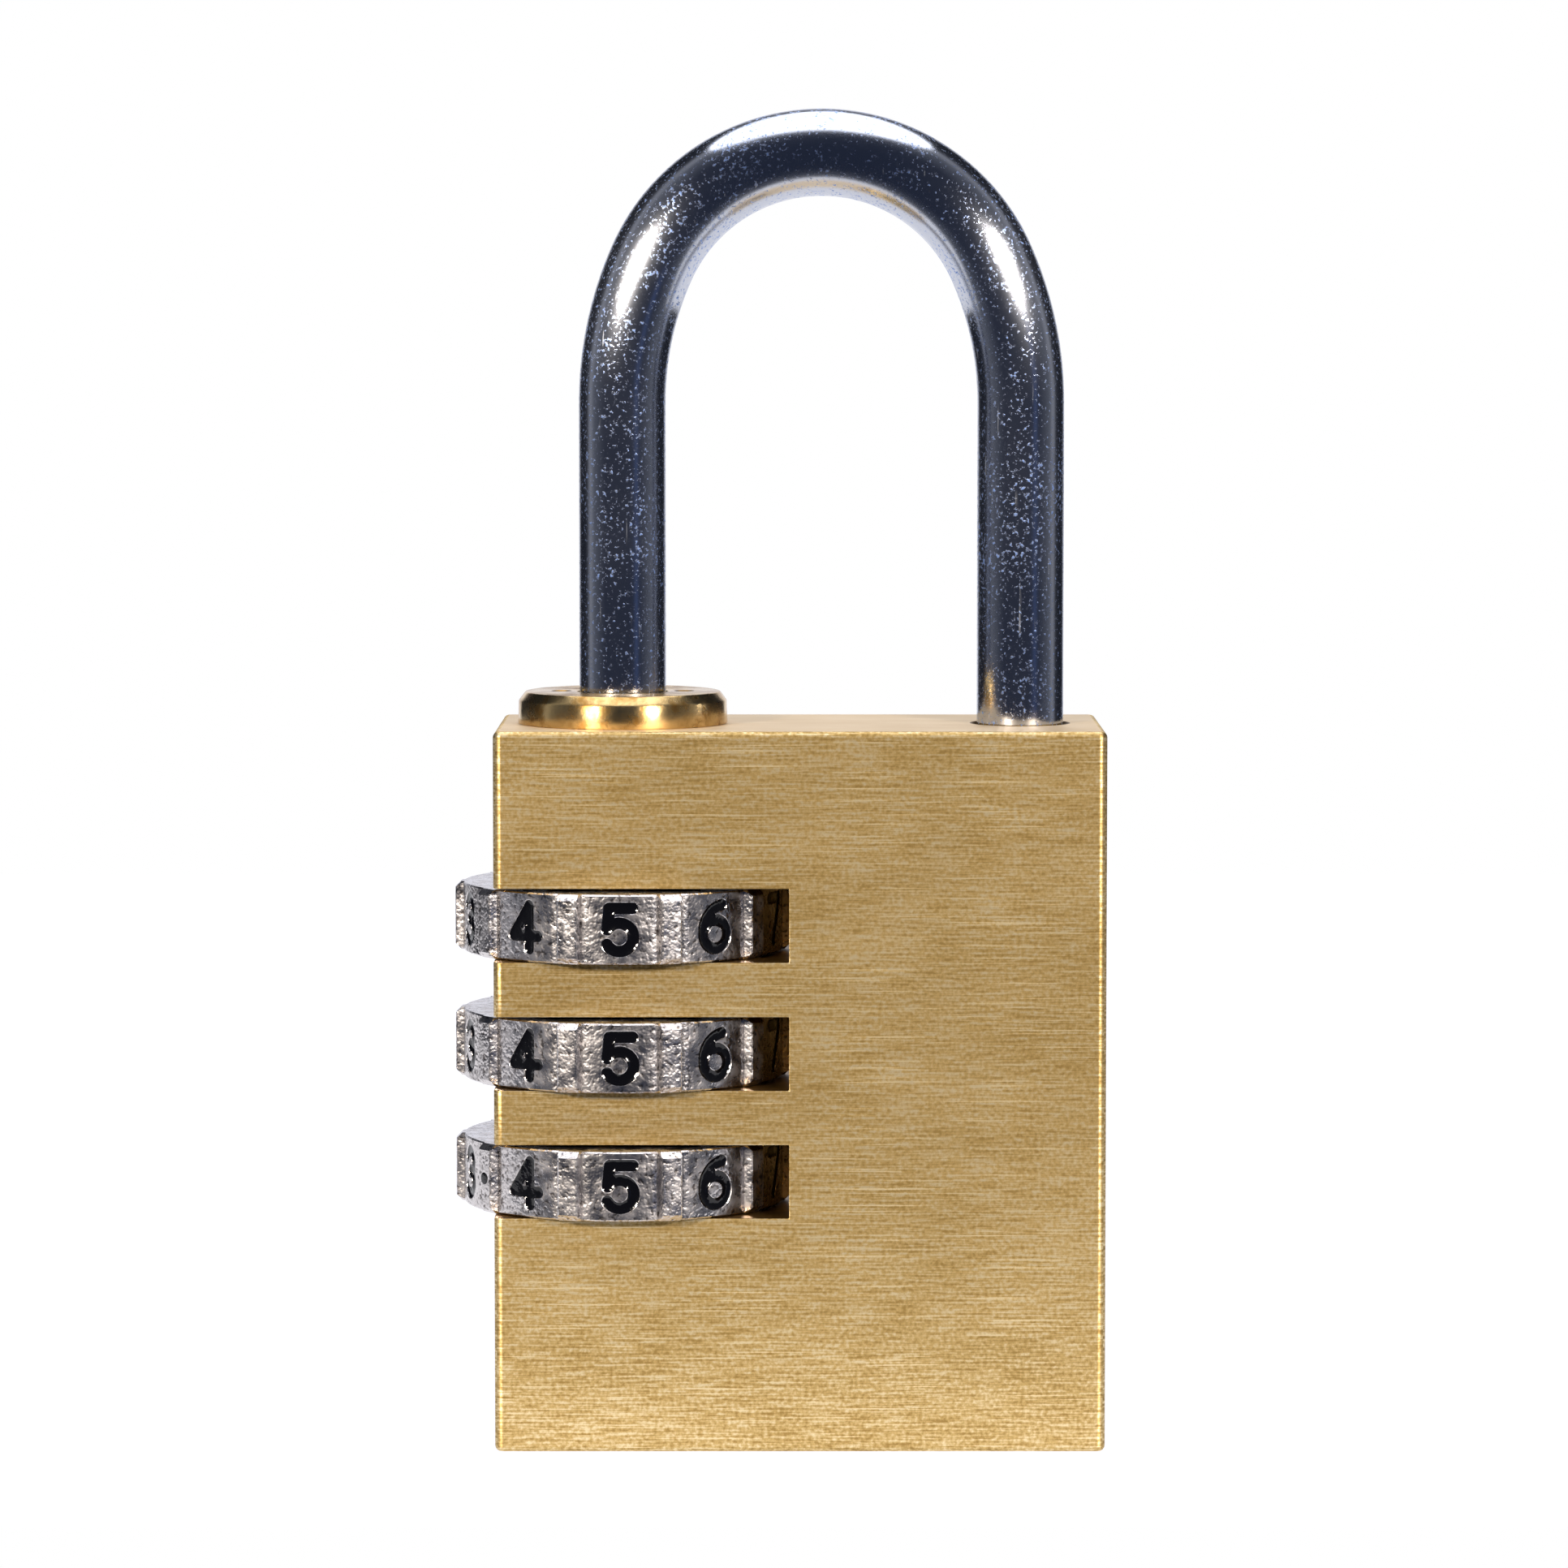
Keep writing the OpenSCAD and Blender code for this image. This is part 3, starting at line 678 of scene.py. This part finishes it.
def addFins(bar, s):
    # three fins on the turned-down core, which pass the sleeves' keyways
    leftX = shackleLow.x + s["barRadius"]
    wide = s["finHalfAngle"]
    for name in dialNames:
        low, high = slotHeights(name)
        middle = (low + high) / 2
        bm = bmesh.new()
        sector = arcPoints((leftX, 0), s["finRadii"][0], -wide, wide, 3)
        sector += arcPoints((leftX, 0), s["finRadii"][1], wide, -wide, 5)
        bottom, top = [[bm.verts.new((x, y, middle + rise)) for x, y in sector]
                       for rise in s["finHeights"]]
        bm.faces.new(bottom[::-1])
        bm.faces.new(top)
        bridge(bm, bottom, top)
        carve(bar, meshObject("fin", bm), "UNION")
    bar.data.set_sharp_from_angle(angle=math.radians(35))


bar = makeShackle(shackleSettings)
addFins(bar, shackleSettings)
runGrain(bar)
place(bar, "shackle_assembly", "shackle")
print("shackle made:", len(bar.data.polygons), "faces")


collarSettings = {
    "boreRadius": 2.25 * mm,
    "boreBreak": 0.15 * mm,
    "spigotRadius": 4.3 * mm,
    "spigotBreak": 0.2 * mm,
    "wallTop": 0.05 * mm,  # how far the flange's wall leans in
    "bevel": (0.32 * mm, 0.4 * mm),
    "softEdge": 0.07 * mm,
    "holeRadius": 0.45 * mm,
    "holeAt": 3.05 * mm,
    "holeDepth": 0.8 * mm,
    "holeBreak": 0.06 * mm,
    "drillPoint": 0.2 * mm,
}


def makeCollar(s):
    # turned in one profile, with a soft edge at each corner, then drilled for the pin spanner
    flange = (collarHigh.x - collarLow.x) / 2
    top, low = collarHigh.z, collarLow.z
    soft = s["softEdge"]
    wall = flange - s["wallTop"]
    shelf = wall - s["bevel"][0]
    bore, spigot = s["boreRadius"], s["spigotRadius"]
    profile = [(bore, low), (spigot - s["spigotBreak"], low),
               (spigot, low + s["spigotBreak"]), (spigot, bodyTop),
               (flange - soft, bodyTop), (flange - 0.3 * soft, bodyTop + 0.3 * soft),
               (flange, bodyTop + soft), (wall + 0.3 * soft, top - s["bevel"][1] - soft),
               (wall - 0.2 * soft, top - s["bevel"][1]),
               (wall - 0.9 * soft, top - s["bevel"][1] + 0.9 * soft),
               (shelf + 0.6 * soft, top - 0.75 * soft), (shelf, top - 0.2 * soft),
               (shelf - 0.8 * soft, top), (bore + s["boreBreak"], top),
               (bore + 0.04 * mm, top - 0.04 * mm), (bore, top - s["boreBreak"])]
    bm = bmesh.new()
    lathe(bm, profile, spindleX, 160)
    collar = meshObject("collarNut", bm, 30)
    hole, lip, bottom = s["holeRadius"], s["holeBreak"], top - s["holeDepth"]
    drill = [(0, bottom), (hole, bottom + s["drillPoint"]), (hole, top - lip),
             (hole + 2 * lip, top + lip), (0, top + lip)]
    for side in (-1, 1):
        cutRound(collar, drill, spindleX + side * s["holeAt"], 40)
    collar.data.set_sharp_from_angle(angle=math.radians(30))
    collar.data.materials.clear()
    for material in (collarBrass, milledPaintedShade):
        collar.data.materials.append(material)
    for face in collar.data.polygons:  # the key holes take the darker brass, painted shade in the holes
        reach = min(math.hypot(face.center.x - spindleX - side * s["holeAt"], face.center.y)
                    for side in (-1, 1))
        inHole = reach < hole + 0.1 * mm and face.center.z < top - 0.01 * mm
        face.material_index = int(inHole)
    return collar


collar = makeCollar(collarSettings)
place(collar, "lock_body", "top_collar")
print("collar made")


digitSettings = {
    "height": 2.66 * mm,
    "stroke": 0.55 * mm,
    "step": 0.06 * mm,  # spacing of the outline's points
    "grid": (0.62, 94),  # half width in digit heights and points a side
}
pen = digitSettings["stroke"] / digitSettings["height"] / 2


def digitStrokes(value):
    # the pen's path for a plain digit, centred on the origin:
    # ("line", ax, ay, bx, by) and ("arc", cx, cy, radius, from, to) in digit heights and degrees
    top, side = 0.5 - pen, 0.27
    hookX, hookZ = [0.25 * f(math.radians(36)) for f in (math.cos, math.sin)]
    table = {
        0: [("arc", 0, top - side, side, 0, 180), ("arc", 0, side - top, side, 180, 360),
            ("line", -side, side - top, -side, top - side),
            ("line", side, side - top, side, top - side)],
        1: [("line", 0.05, -top, 0.05, top), ("line", 0.05, top, -0.17, 0.2)],
        2: [("arc", 0, top - 0.25, 0.25, -36, 170),
            ("line", hookX, top - 0.25 - hookZ, -side, -top), ("line", -side, -top, side, -top)],
        3: [("arc", 0, top - 0.2, 0.2, -90, 160), ("arc", 0, 0.218 - top, 0.218, -160, 90)],
        4: [("line", 0.1, top, 0.1, -top), ("line", 0.1, top, -side, -0.16),
            ("line", -side, -0.16, side + 0.02, -0.16)],
        5: [("line", -0.18, top, 0.24, top), ("line", -0.18, top, -0.22, 0.03),
            ("arc", 0, 0.26 - top, 0.26, -150, 148)],
        6: [("arc", 0, 0.26 - top, 0.26, 0, 360), ("arc", 0.2, -0.06, 0.46, 96, 176)],
        7: [("line", -side, top, side, top), ("line", side, top, -0.07, -top)],
        8: [("arc", 0, top - 0.195, 0.195, 0, 360), ("arc", 0, 0.23 - top, 0.23, 0, 360)],
        9: [("arc", 0, top - 0.26, 0.26, 0, 360), ("arc", -0.2, 0.06, 0.46, -84, -4)],
    }
    return table[value]


def strokeDistance(strokes, x, y):
    # distance from points to the edge of the inked shape, negative inside
    best = np.full(np.shape(x), 9.0)
    for kind, *n in strokes:
        if kind == "line":
            ax, ay, bx, by = n
            run = (bx - ax) ** 2 + (by - ay) ** 2
            t = np.clip(((x - ax) * (bx - ax) + (y - ay) * (by - ay)) / run, 0, 1)
            best = np.minimum(best, np.hypot(x - ax - t * (bx - ax), y - ay - t * (by - ay)))
        else:
            cx, cy, radius, start, end = n
            angle = np.degrees(np.arctan2(y - cy, x - cx))
            inside = (angle - start) % 360 <= end - start
            ring = np.abs(np.hypot(x - cx, y - cy) - radius)
            tips = [np.hypot(x - cx - radius * math.cos(math.radians(a)),
                             y - cy - radius * math.sin(math.radians(a))) for a in (start, end)]
            best = np.minimum(best, np.where(inside, ring, np.minimum(*tips)))
    return best - pen


def slopeAt(strokes, points):
    # unit directions away from the inked shape
    h = 1e-4
    x, y = points[:, 0], points[:, 1]
    gx = strokeDistance(strokes, x + h, y) - strokeDistance(strokes, x - h, y)
    gy = strokeDistance(strokes, x, y + h) - strokeDistance(strokes, x, y - h)
    slope = np.stack([gx, gy], 1)
    return slope / np.maximum(np.linalg.norm(slope, axis=1, keepdims=True), 1e-9)


def ontoEdge(strokes, points):
    # moves points along the slope to the edge of the inked shape
    distance = strokeDistance(strokes, points[:, 0], points[:, 1])
    return points - slopeAt(strokes, points) * distance[:, None]


def digitOutlines(value):
    # closed loops round the digit by marching squares, then evenly spaced
    strokes = digitStrokes(value)
    reach, count = digitSettings["grid"]
    axis = np.linspace(-reach, reach, count)
    gx, gy = np.meshgrid(axis, axis, indexing="ij")
    field = strokeDistance(strokes, gx, gy) + 1e-7  # so that no grid point is exactly on the edge
    nexts = {}

    def crossing(i, j, k, m):
        a, b = field[i, j], field[k, m]
        t = a / (a - b)
        return (axis[i] + t * (axis[k] - axis[i]), axis[j] + t * (axis[m] - axis[j]))

    for i in range(len(axis) - 1):
        for j in range(len(axis) - 1):
            corners = [(i, j), (i + 1, j), (i + 1, j + 1), (i, j + 1)]
            inside = [field[c] < 0 for c in corners]
            if all(inside) or not any(inside):
                continue
            enters, leaves = [], []
            for e in range(4):
                a, b = corners[e], corners[(e + 1) % 4]
                if inside[e] and not inside[(e + 1) % 4]:
                    leaves.append((tuple(sorted((a, b))), crossing(*a, *b)))
                if not inside[e] and inside[(e + 1) % 4]:
                    enters.append((tuple(sorted((a, b))), crossing(*a, *b)))
            for start, end in zip(leaves, enters):
                nexts[start[0]] = (end[0], start[1])
    loops = []
    while nexts:
        key = next(iter(nexts))
        loop = []
        while key in nexts:
            key, point = nexts.pop(key)
            loop.append(point)
        loop = np.array(loop)
        for _ in range(2):
            loop = ontoEdge(strokes, loop)
        closed = np.vstack([loop, loop[:1]])
        length = np.concatenate([[0], np.cumsum(np.linalg.norm(np.diff(closed, axis=0), axis=1))])
        count = max(16, int(length[-1] * digitSettings["height"] / digitSettings["step"]))
        spots = np.linspace(0, length[-1], count, endpoint=False)
        even = np.stack([np.interp(spots, length, closed[:, k]) for k in (0, 1)], 1)
        even = ontoEdge(strokes, even)
        loops.append((even * digitSettings["height"], slopeAt(strokes, even)))
    return loops


outlines = {value: digitOutlines(value) for value in range(10)}
print("digit outlines made:", sum(len(p) for loops in outlines.values() for p, _ in loops), "points")


dialSettings = {
    "apothem": 7.95 * mm,
    "crown": 9.0 * mm,  # each digit's face is slightly crowned
    "flatWidth": 3.55 * mm,
    "strips": 14,  # across a face
    "landRadius": 8.345 * mm,
    "landWidth": 1.0 * mm,
    "grooveDepth": 0.06 * mm,  # between a face and its land
    "grooveWidth": 0.09 * mm,
    "rimRadius": 8.05 * mm,
    "rimBreak": 0.07 * mm,
    "boreRadius": 3.95 * mm,
    "notchRadius": 4.45 * mm,
    "notchHalfAngle": 7.3,  # degrees
    "freeBand": (-0.45 * mm, 0.65 * mm),  # where a key turns free, from the slot's middle
    "pocketDepth": 0.34 * mm,
    "pocketLip": 0.04 * mm,
    "enamelEdge": 0.045 * mm,  # below the face
    "enamelMiddle": 0.11 * mm,  # below the face, dished as it dried
}
digitStep = 36  # degrees from one digit to the next
frontDigit = 5  # the digit that faces the front


def fallAway(s, across):
    # how far the crowned face lies below its middle
    return s["crown"] - math.sqrt(s["crown"] ** 2 - across ** 2)


def dialOutline(s):
    # (azimuth from the face's middle in degrees, radius, on the face) for one of ten sectors
    half = s["flatWidth"] / 2
    land = math.degrees(math.asin(s["landWidth"] / 2 / s["landRadius"]))
    spots = np.linspace(-half, half, s["strips"] + 1)
    face = [(across, s["apothem"] - fallAway(s, across)) for across in spots]
    points = [(math.degrees(math.atan2(u, v)), math.hypot(u, v), True) for u, v in face]
    bottom = (s["apothem"] - fallAway(s, half) - s["grooveDepth"], half + s["grooveWidth"])
    edge = digitStep / 2 - land
    right = [(math.degrees(math.atan2(bottom[1], bottom[0])), math.hypot(*bottom), False),
             (edge - 0.25, s["landRadius"] - 0.10 * mm, False),
             (edge, s["landRadius"] - 0.03 * mm, False), (edge + 0.45, s["landRadius"], False)]
    left = [(-a, r, onFace) for a, r, onFace in reversed(right)]
    return left + points + right + [(digitStep / 2, s["landRadius"], False)]


def sideFrame(name, degrees, radius):
    # a point on the side of a dial, with the directions out of it and to its right
    azimuth = math.radians(degrees)
    out = Vector((math.cos(azimuth), math.sin(azimuth), 0))
    right = Vector((-math.sin(azimuth), math.cos(azimuth), 0))
    middle = (dialBoxes[name][0].z + dialBoxes[name][1].z) / 2
    return Vector((spindleX, 0, middle)) + out * radius, out, right


def digitFrames(name, s):
    # each face of a dial from the front round: its number, its frame and its digit's outlines
    for d in range(10):
        frameOfFace = sideFrame(name, -90 + digitStep * d, s["apothem"])
        yield d, frameOfFace, outlines[(frontDigit + d) % 10]


def stackLoops(bm, levels, centre, out, right, points, slopes):
    # one ring of points for each (growth, depth) below the face, joined downwards
    loops = []
    for grow, depth in levels:
        loops.append([bm.verts.new(centre + right * u + Vector((0, 0, w)) - out * depth)
                      for u, w in points + slopes * grow])
    for upper, lower in zip(loops, loops[1:]):
        bridge(bm, upper, lower)
    return loops


def closeRings(bm, rings):
    # fills an outline and its holes with triangles
    edges = []
    for ring in rings:
        for a, b in zip(ring, ring[1:] + ring[:1]):
            edges.append(bm.edges.get((a, b)) or bm.edges.new((a, b)))
    return bmesh.ops.triangle_fill(bm, use_beauty=True, edges=edges)["geom"]


def crownFace(verts, s, centre, out, right, way=1):
    # lets each point fall away to the crown, or lifts it back
    for vert in verts:
        vert.co -= way * out * fallAway(s, (vert.co - centre).dot(right))


def cutStrips(bm, geom, s, centre, right):
    # cuts a flat filled face into upright strips, which can then follow the crown
    half = s["flatWidth"] / 2
    corners = {v for item in geom if isinstance(item, bmesh.types.BMFace) for v in item.verts}
    whole = list(corners) + list(geom)
    for t in np.linspace(-1, 1, s["strips"] + 1)[1:-1]:
        whole = bmesh.ops.bisect_plane(bm, geom=whole, plane_co=centre + right * (t * half),
                                       plane_no=right, dist=1e-8)["geom"]
    return [item for item in whole if isinstance(item, bmesh.types.BMVert)]


def makeDial(name, s):
    # rings of points from the outer wall through the bore and back, then ten faces with their pockets
    low, high = dialBoxes[name][0].z, dialBoxes[name][1].z
    freeLow, freeHigh = [sum(slotHeights(name)) / 2 + rise for rise in s["freeBand"]]
    around = [(d, -90 + digitStep * d + a, a, r, onFace)
              for d in range(10) for a, r, onFace in dialOutline(s)]
    count = len(around)
    bm = bmesh.new()

    def ring(radiusOf, heightOf):
        return [bm.verts.new((spindleX + radiusOf(p) * math.cos(math.radians(p[1])),
                              radiusOf(p) * math.sin(math.radians(p[1])), heightOf(p)))
                for p in around]

    def notched(p):
        return s["notchRadius"] if abs(p[2]) < s["notchHalfAngle"] else s["boreRadius"]

    def drop(p):
        return max(p[3] - s["rimRadius"], s["rimBreak"])

    def inside(p):
        return min(p[3] - s["rimBreak"], s["rimRadius"])

    wallTop = ring(lambda p: p[3], lambda p: high - drop(p))
    wallLow = ring(lambda p: p[3], lambda p: low + drop(p))
    rings = [wallTop, ring(inside, lambda p: high),
             ring(notched, lambda p: high), ring(notched, lambda p: freeHigh),
             ring(lambda p: s["notchRadius"], lambda p: freeHigh),
             ring(lambda p: s["notchRadius"], lambda p: freeLow),
             ring(lambda p: s["boreRadius"], lambda p: freeLow),
             ring(lambda p: s["boreRadius"], lambda p: low),
             ring(inside, lambda p: low), wallLow]
    for upper, lower in zip(rings, rings[1:]):
        bridge(bm, upper, lower)
    for i in range(count):
        j = (i + 1) % count
        if not (around[i][4] and around[j][4]):
            bm.faces.new((wallTop[i], wallLow[i], wallLow[j], wallTop[j]))

    lip = s["pocketLip"]
    levels = [(lip, 0.0), (0.4 * lip, 0.35 * lip), (0.0, 1.1 * lip), (0.0, s["pocketDepth"])]
    for d, (centre, out, right), digit in digitFrames(name, s):
        own = [i for i in range(count) if around[i][0] == d and around[i][4]]
        border = [wallTop[i] for i in own] + [wallLow[i] for i in reversed(own)]
        crownFace(border, s, centre, out, right, -1)  # held flat until the face has been filled
        sides = [stackLoops(bm, levels, centre, out, right, *outline) for outline in digit]
        filled = closeRings(bm, [border] + [loops[0] for loops in sides])
        closeRings(bm, [loops[-1] for loops in sides])
        moved = set(cutStrips(bm, filled, s, centre, right))
        moved.update(vert for loops in sides for loop in loops for vert in loop)
        moved.update(border)
        crownFace(moved, s, centre, out, right)
    dial = meshObject("digitDial_" + name, bm, 24)
    dial.data.materials.append(zinc)
    return dial


def makeNumerals(name, s):
    # enamel in each pocket, dished towards the middle of its strokes
    bm = bmesh.new()
    reach = digitSettings["stroke"] / 2
    levels = [(0.0, s["pocketDepth"] - 0.01 * mm)]
    for share in (0.0, 0.06, 0.14, 0.25, 0.4, 0.58, 0.78):
        dome = 1 - (1 - share) ** 2
        depth = s["enamelEdge"] + (s["enamelMiddle"] - s["enamelEdge"]) * dome
        levels.append((-share * reach, depth))
    for _, (centre, out, right), digit in digitFrames(name, s):
        sides = [stackLoops(bm, levels, centre, out, right, *outline) for outline in digit]
        closeRings(bm, [loops[0] for loops in sides])
        closeRings(bm, [loops[-1] for loops in sides])
        crownFace([vert for loops in sides for loop in loops for vert in loop], s, centre, out, right)
    digits = meshObject("enamelDigits_" + name, bm, 60)
    digits.data.materials.append(enamel)
    return digits


for name in dialNames:
    dial = makeDial(name, dialSettings)
    place(dial, name + "_dial", "dial_" + name)
    digits = makeNumerals(name, dialSettings)
    place(digits, name + "_dial", "numerals_" + name)
    print("dial", name, "made:", len(dial.data.polygons), "and", len(digits.data.polygons), "faces")


dotSettings = {
    "radius": 0.3 * mm,
    "proud": 0.03 * mm,
    "sunk": 0.3 * mm,
    "azimuth": -144,  # degrees, on the land between two digits
}


def makeDot(s):
    # a low bead of enamel on one land of the bottom dial
    centre, out, right = sideFrame("bottom", s["azimuth"], dialSettings["landRadius"])
    bm = bmesh.new()
    profile = [(0, -s["sunk"]), (s["radius"], -s["sunk"])]
    profile += [(s["radius"] * math.cos(a), s["proud"] * math.sin(a) - 0.005 * mm)
                for a in np.radians(np.linspace(0, 90, 8))]
    lathe(bm, profile, 0, 32, closed=False)
    turn = Matrix((right, Vector((0, 0, 1)), out)).transposed().to_4x4()
    bm.transform(Matrix.Translation(centre) @ turn)
    dot = meshObject("enamelDot", bm, 50)
    dot.data.materials.append(enamel)
    return dot


place(makeDot(dotSettings), "bottom_dial", "index_dot")
print("index dot made")


innerFinish = {"sleeve_top": sleeveBrass, "sleeve_middle": sleeveBrass, "sleeve_bottom": sleeveBrass,
               "click_spring_top": wireSteel, "click_spring_middle": wireSteel,
               "click_spring_bottom": wireSteel, "reset_spring": wireSteel,
               "thrust_washer": sheetSteel, "retaining_clip": sheetSteel}
for name, material in innerFinish.items():
    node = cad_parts[name]
    node.data.materials.clear()
    node.data.materials.append(material)
print("inner pieces finished")


studioSettings = {
    "floorX": (-0.16, 0.16),
    "floorY": (-0.025, 0.30),  # the front edge of the pale floor is close to the lock
    "floor": "#3a3a3c",
    "floorLight": "#fafaff",
    "floorGlow": 0.97,
    "lamps": [
        # name, place, aim, width, height, power, colour, shape
        ("topBox", (0.0, 0.10, 0.56), (0, 0.10, 0.0), 0.60, 0.80, 2.8, "#f6f8ff", "ELLIPSE"),
        ("leftBox", (-0.33, -0.50, 0.194), (0, 0, 0.06), 0.12, 0.07, 3.7, "#fff4e6", "ELLIPSE"),
        ("rightBox", (0.33, -0.50, 0.194), (0, 0, 0.06), 0.12, 0.07, 3.6, "#fff6ec", "ELLIPSE"),
        ("rightFill", (0.38, -0.49, 0.03), (0, 0, 0.04), 0.10, 0.30, 0.012, "#86acff", "RECTANGLE"),
    ],
    # the room from its dark front, past dim side walls, to the bright paper behind
    "room": [
        (0.16, "#262d3e"), (0.44, "#60646e"), (0.50, "#94969e"), (0.56, "#94969e"),
        (0.62, "#20242e"), (0.93, "#1c2029"), (0.965, "#f2f4ff"),
    ],
}


def makeFloor(s):
    # a pale glowing card just under the lock
    bm = bmesh.new()
    level = brassLow.z - 0.02 * mm
    (left, right), (front, back) = s["floorX"], s["floorY"]
    corners = ((left, front), (right, front), (right, back), (left, back))
    bm.faces.new([bm.verts.new((x, y, level)) for x, y in corners])
    floor = meshObject("paleFloor", bm)
    # uncoated white card, lit through from below so that it stays pale in the brass
    material, _, shader = newMaterial("paleCard", s["floor"], 0.0, 0.6)
    setInputs(shader, values={"Emission Color": hexLinear(s["floorLight"]),
                              "Emission Strength": s["floorGlow"]})
    floor.data.materials.append(material)


def makeLamps(s):
    for name, at, aim, width, height, power, colour, shape in s["lamps"]:
        light = bpy.data.lights.new(name, "AREA")
        light.shape = shape
        light.size = width
        light.size_y = height
        light.energy = power
        light.color = hexLinear(colour)[:3]
        lamp = bpy.data.objects.new(name, light)
        lamp.location = at
        lamp.rotation_euler = (Vector(aim) - Vector(at)).to_track_quat("-Z", "Y").to_euler()
        bpy.context.scene.collection.objects.link(lamp)


def makeWorld(s):
    # the camera sees white paper; the metal sees the room, which changes from front to back
    world = bpy.data.worlds.new("studio")
    bpy.context.scene.world = world
    world.use_nodes = True
    tree = world.node_tree
    tree.nodes.clear()
    facing = addNode(tree, "TexCoord").outputs["Generated"]
    behind = addNode(tree, "SeparateXYZ", links={0: facing}).outputs["Y"]
    depth = addNode(tree, "MapRange", {"Value": behind}, span((-1.0, 1.0)), "Result")
    roomColour = addNode(tree, "ValToRGB", {"Fac": depth}, give="Color", stops=s["room"])
    seen = addNode(tree, "LightPath").outputs["Is Camera Ray"]
    roomLight = addNode(tree, "Background", {"Color": roomColour}, {"Strength": 1.0})
    paper = addNode(tree, "Background", values={"Color": hexLinear("#ffffff"), "Strength": 1.0})
    both = addNode(tree, "MixShader", {0: seen, 1: roomLight.outputs[0], 2: paper.outputs[0]})
    addNode(tree, "OutputWorld", links={"Surface": both.outputs[0]})


makeFloor(studioSettings)
makeLamps(studioSettings)
makeWorld(studioSettings)
bpy.context.scene.view_settings.view_transform = "Standard"
print("studio lit")
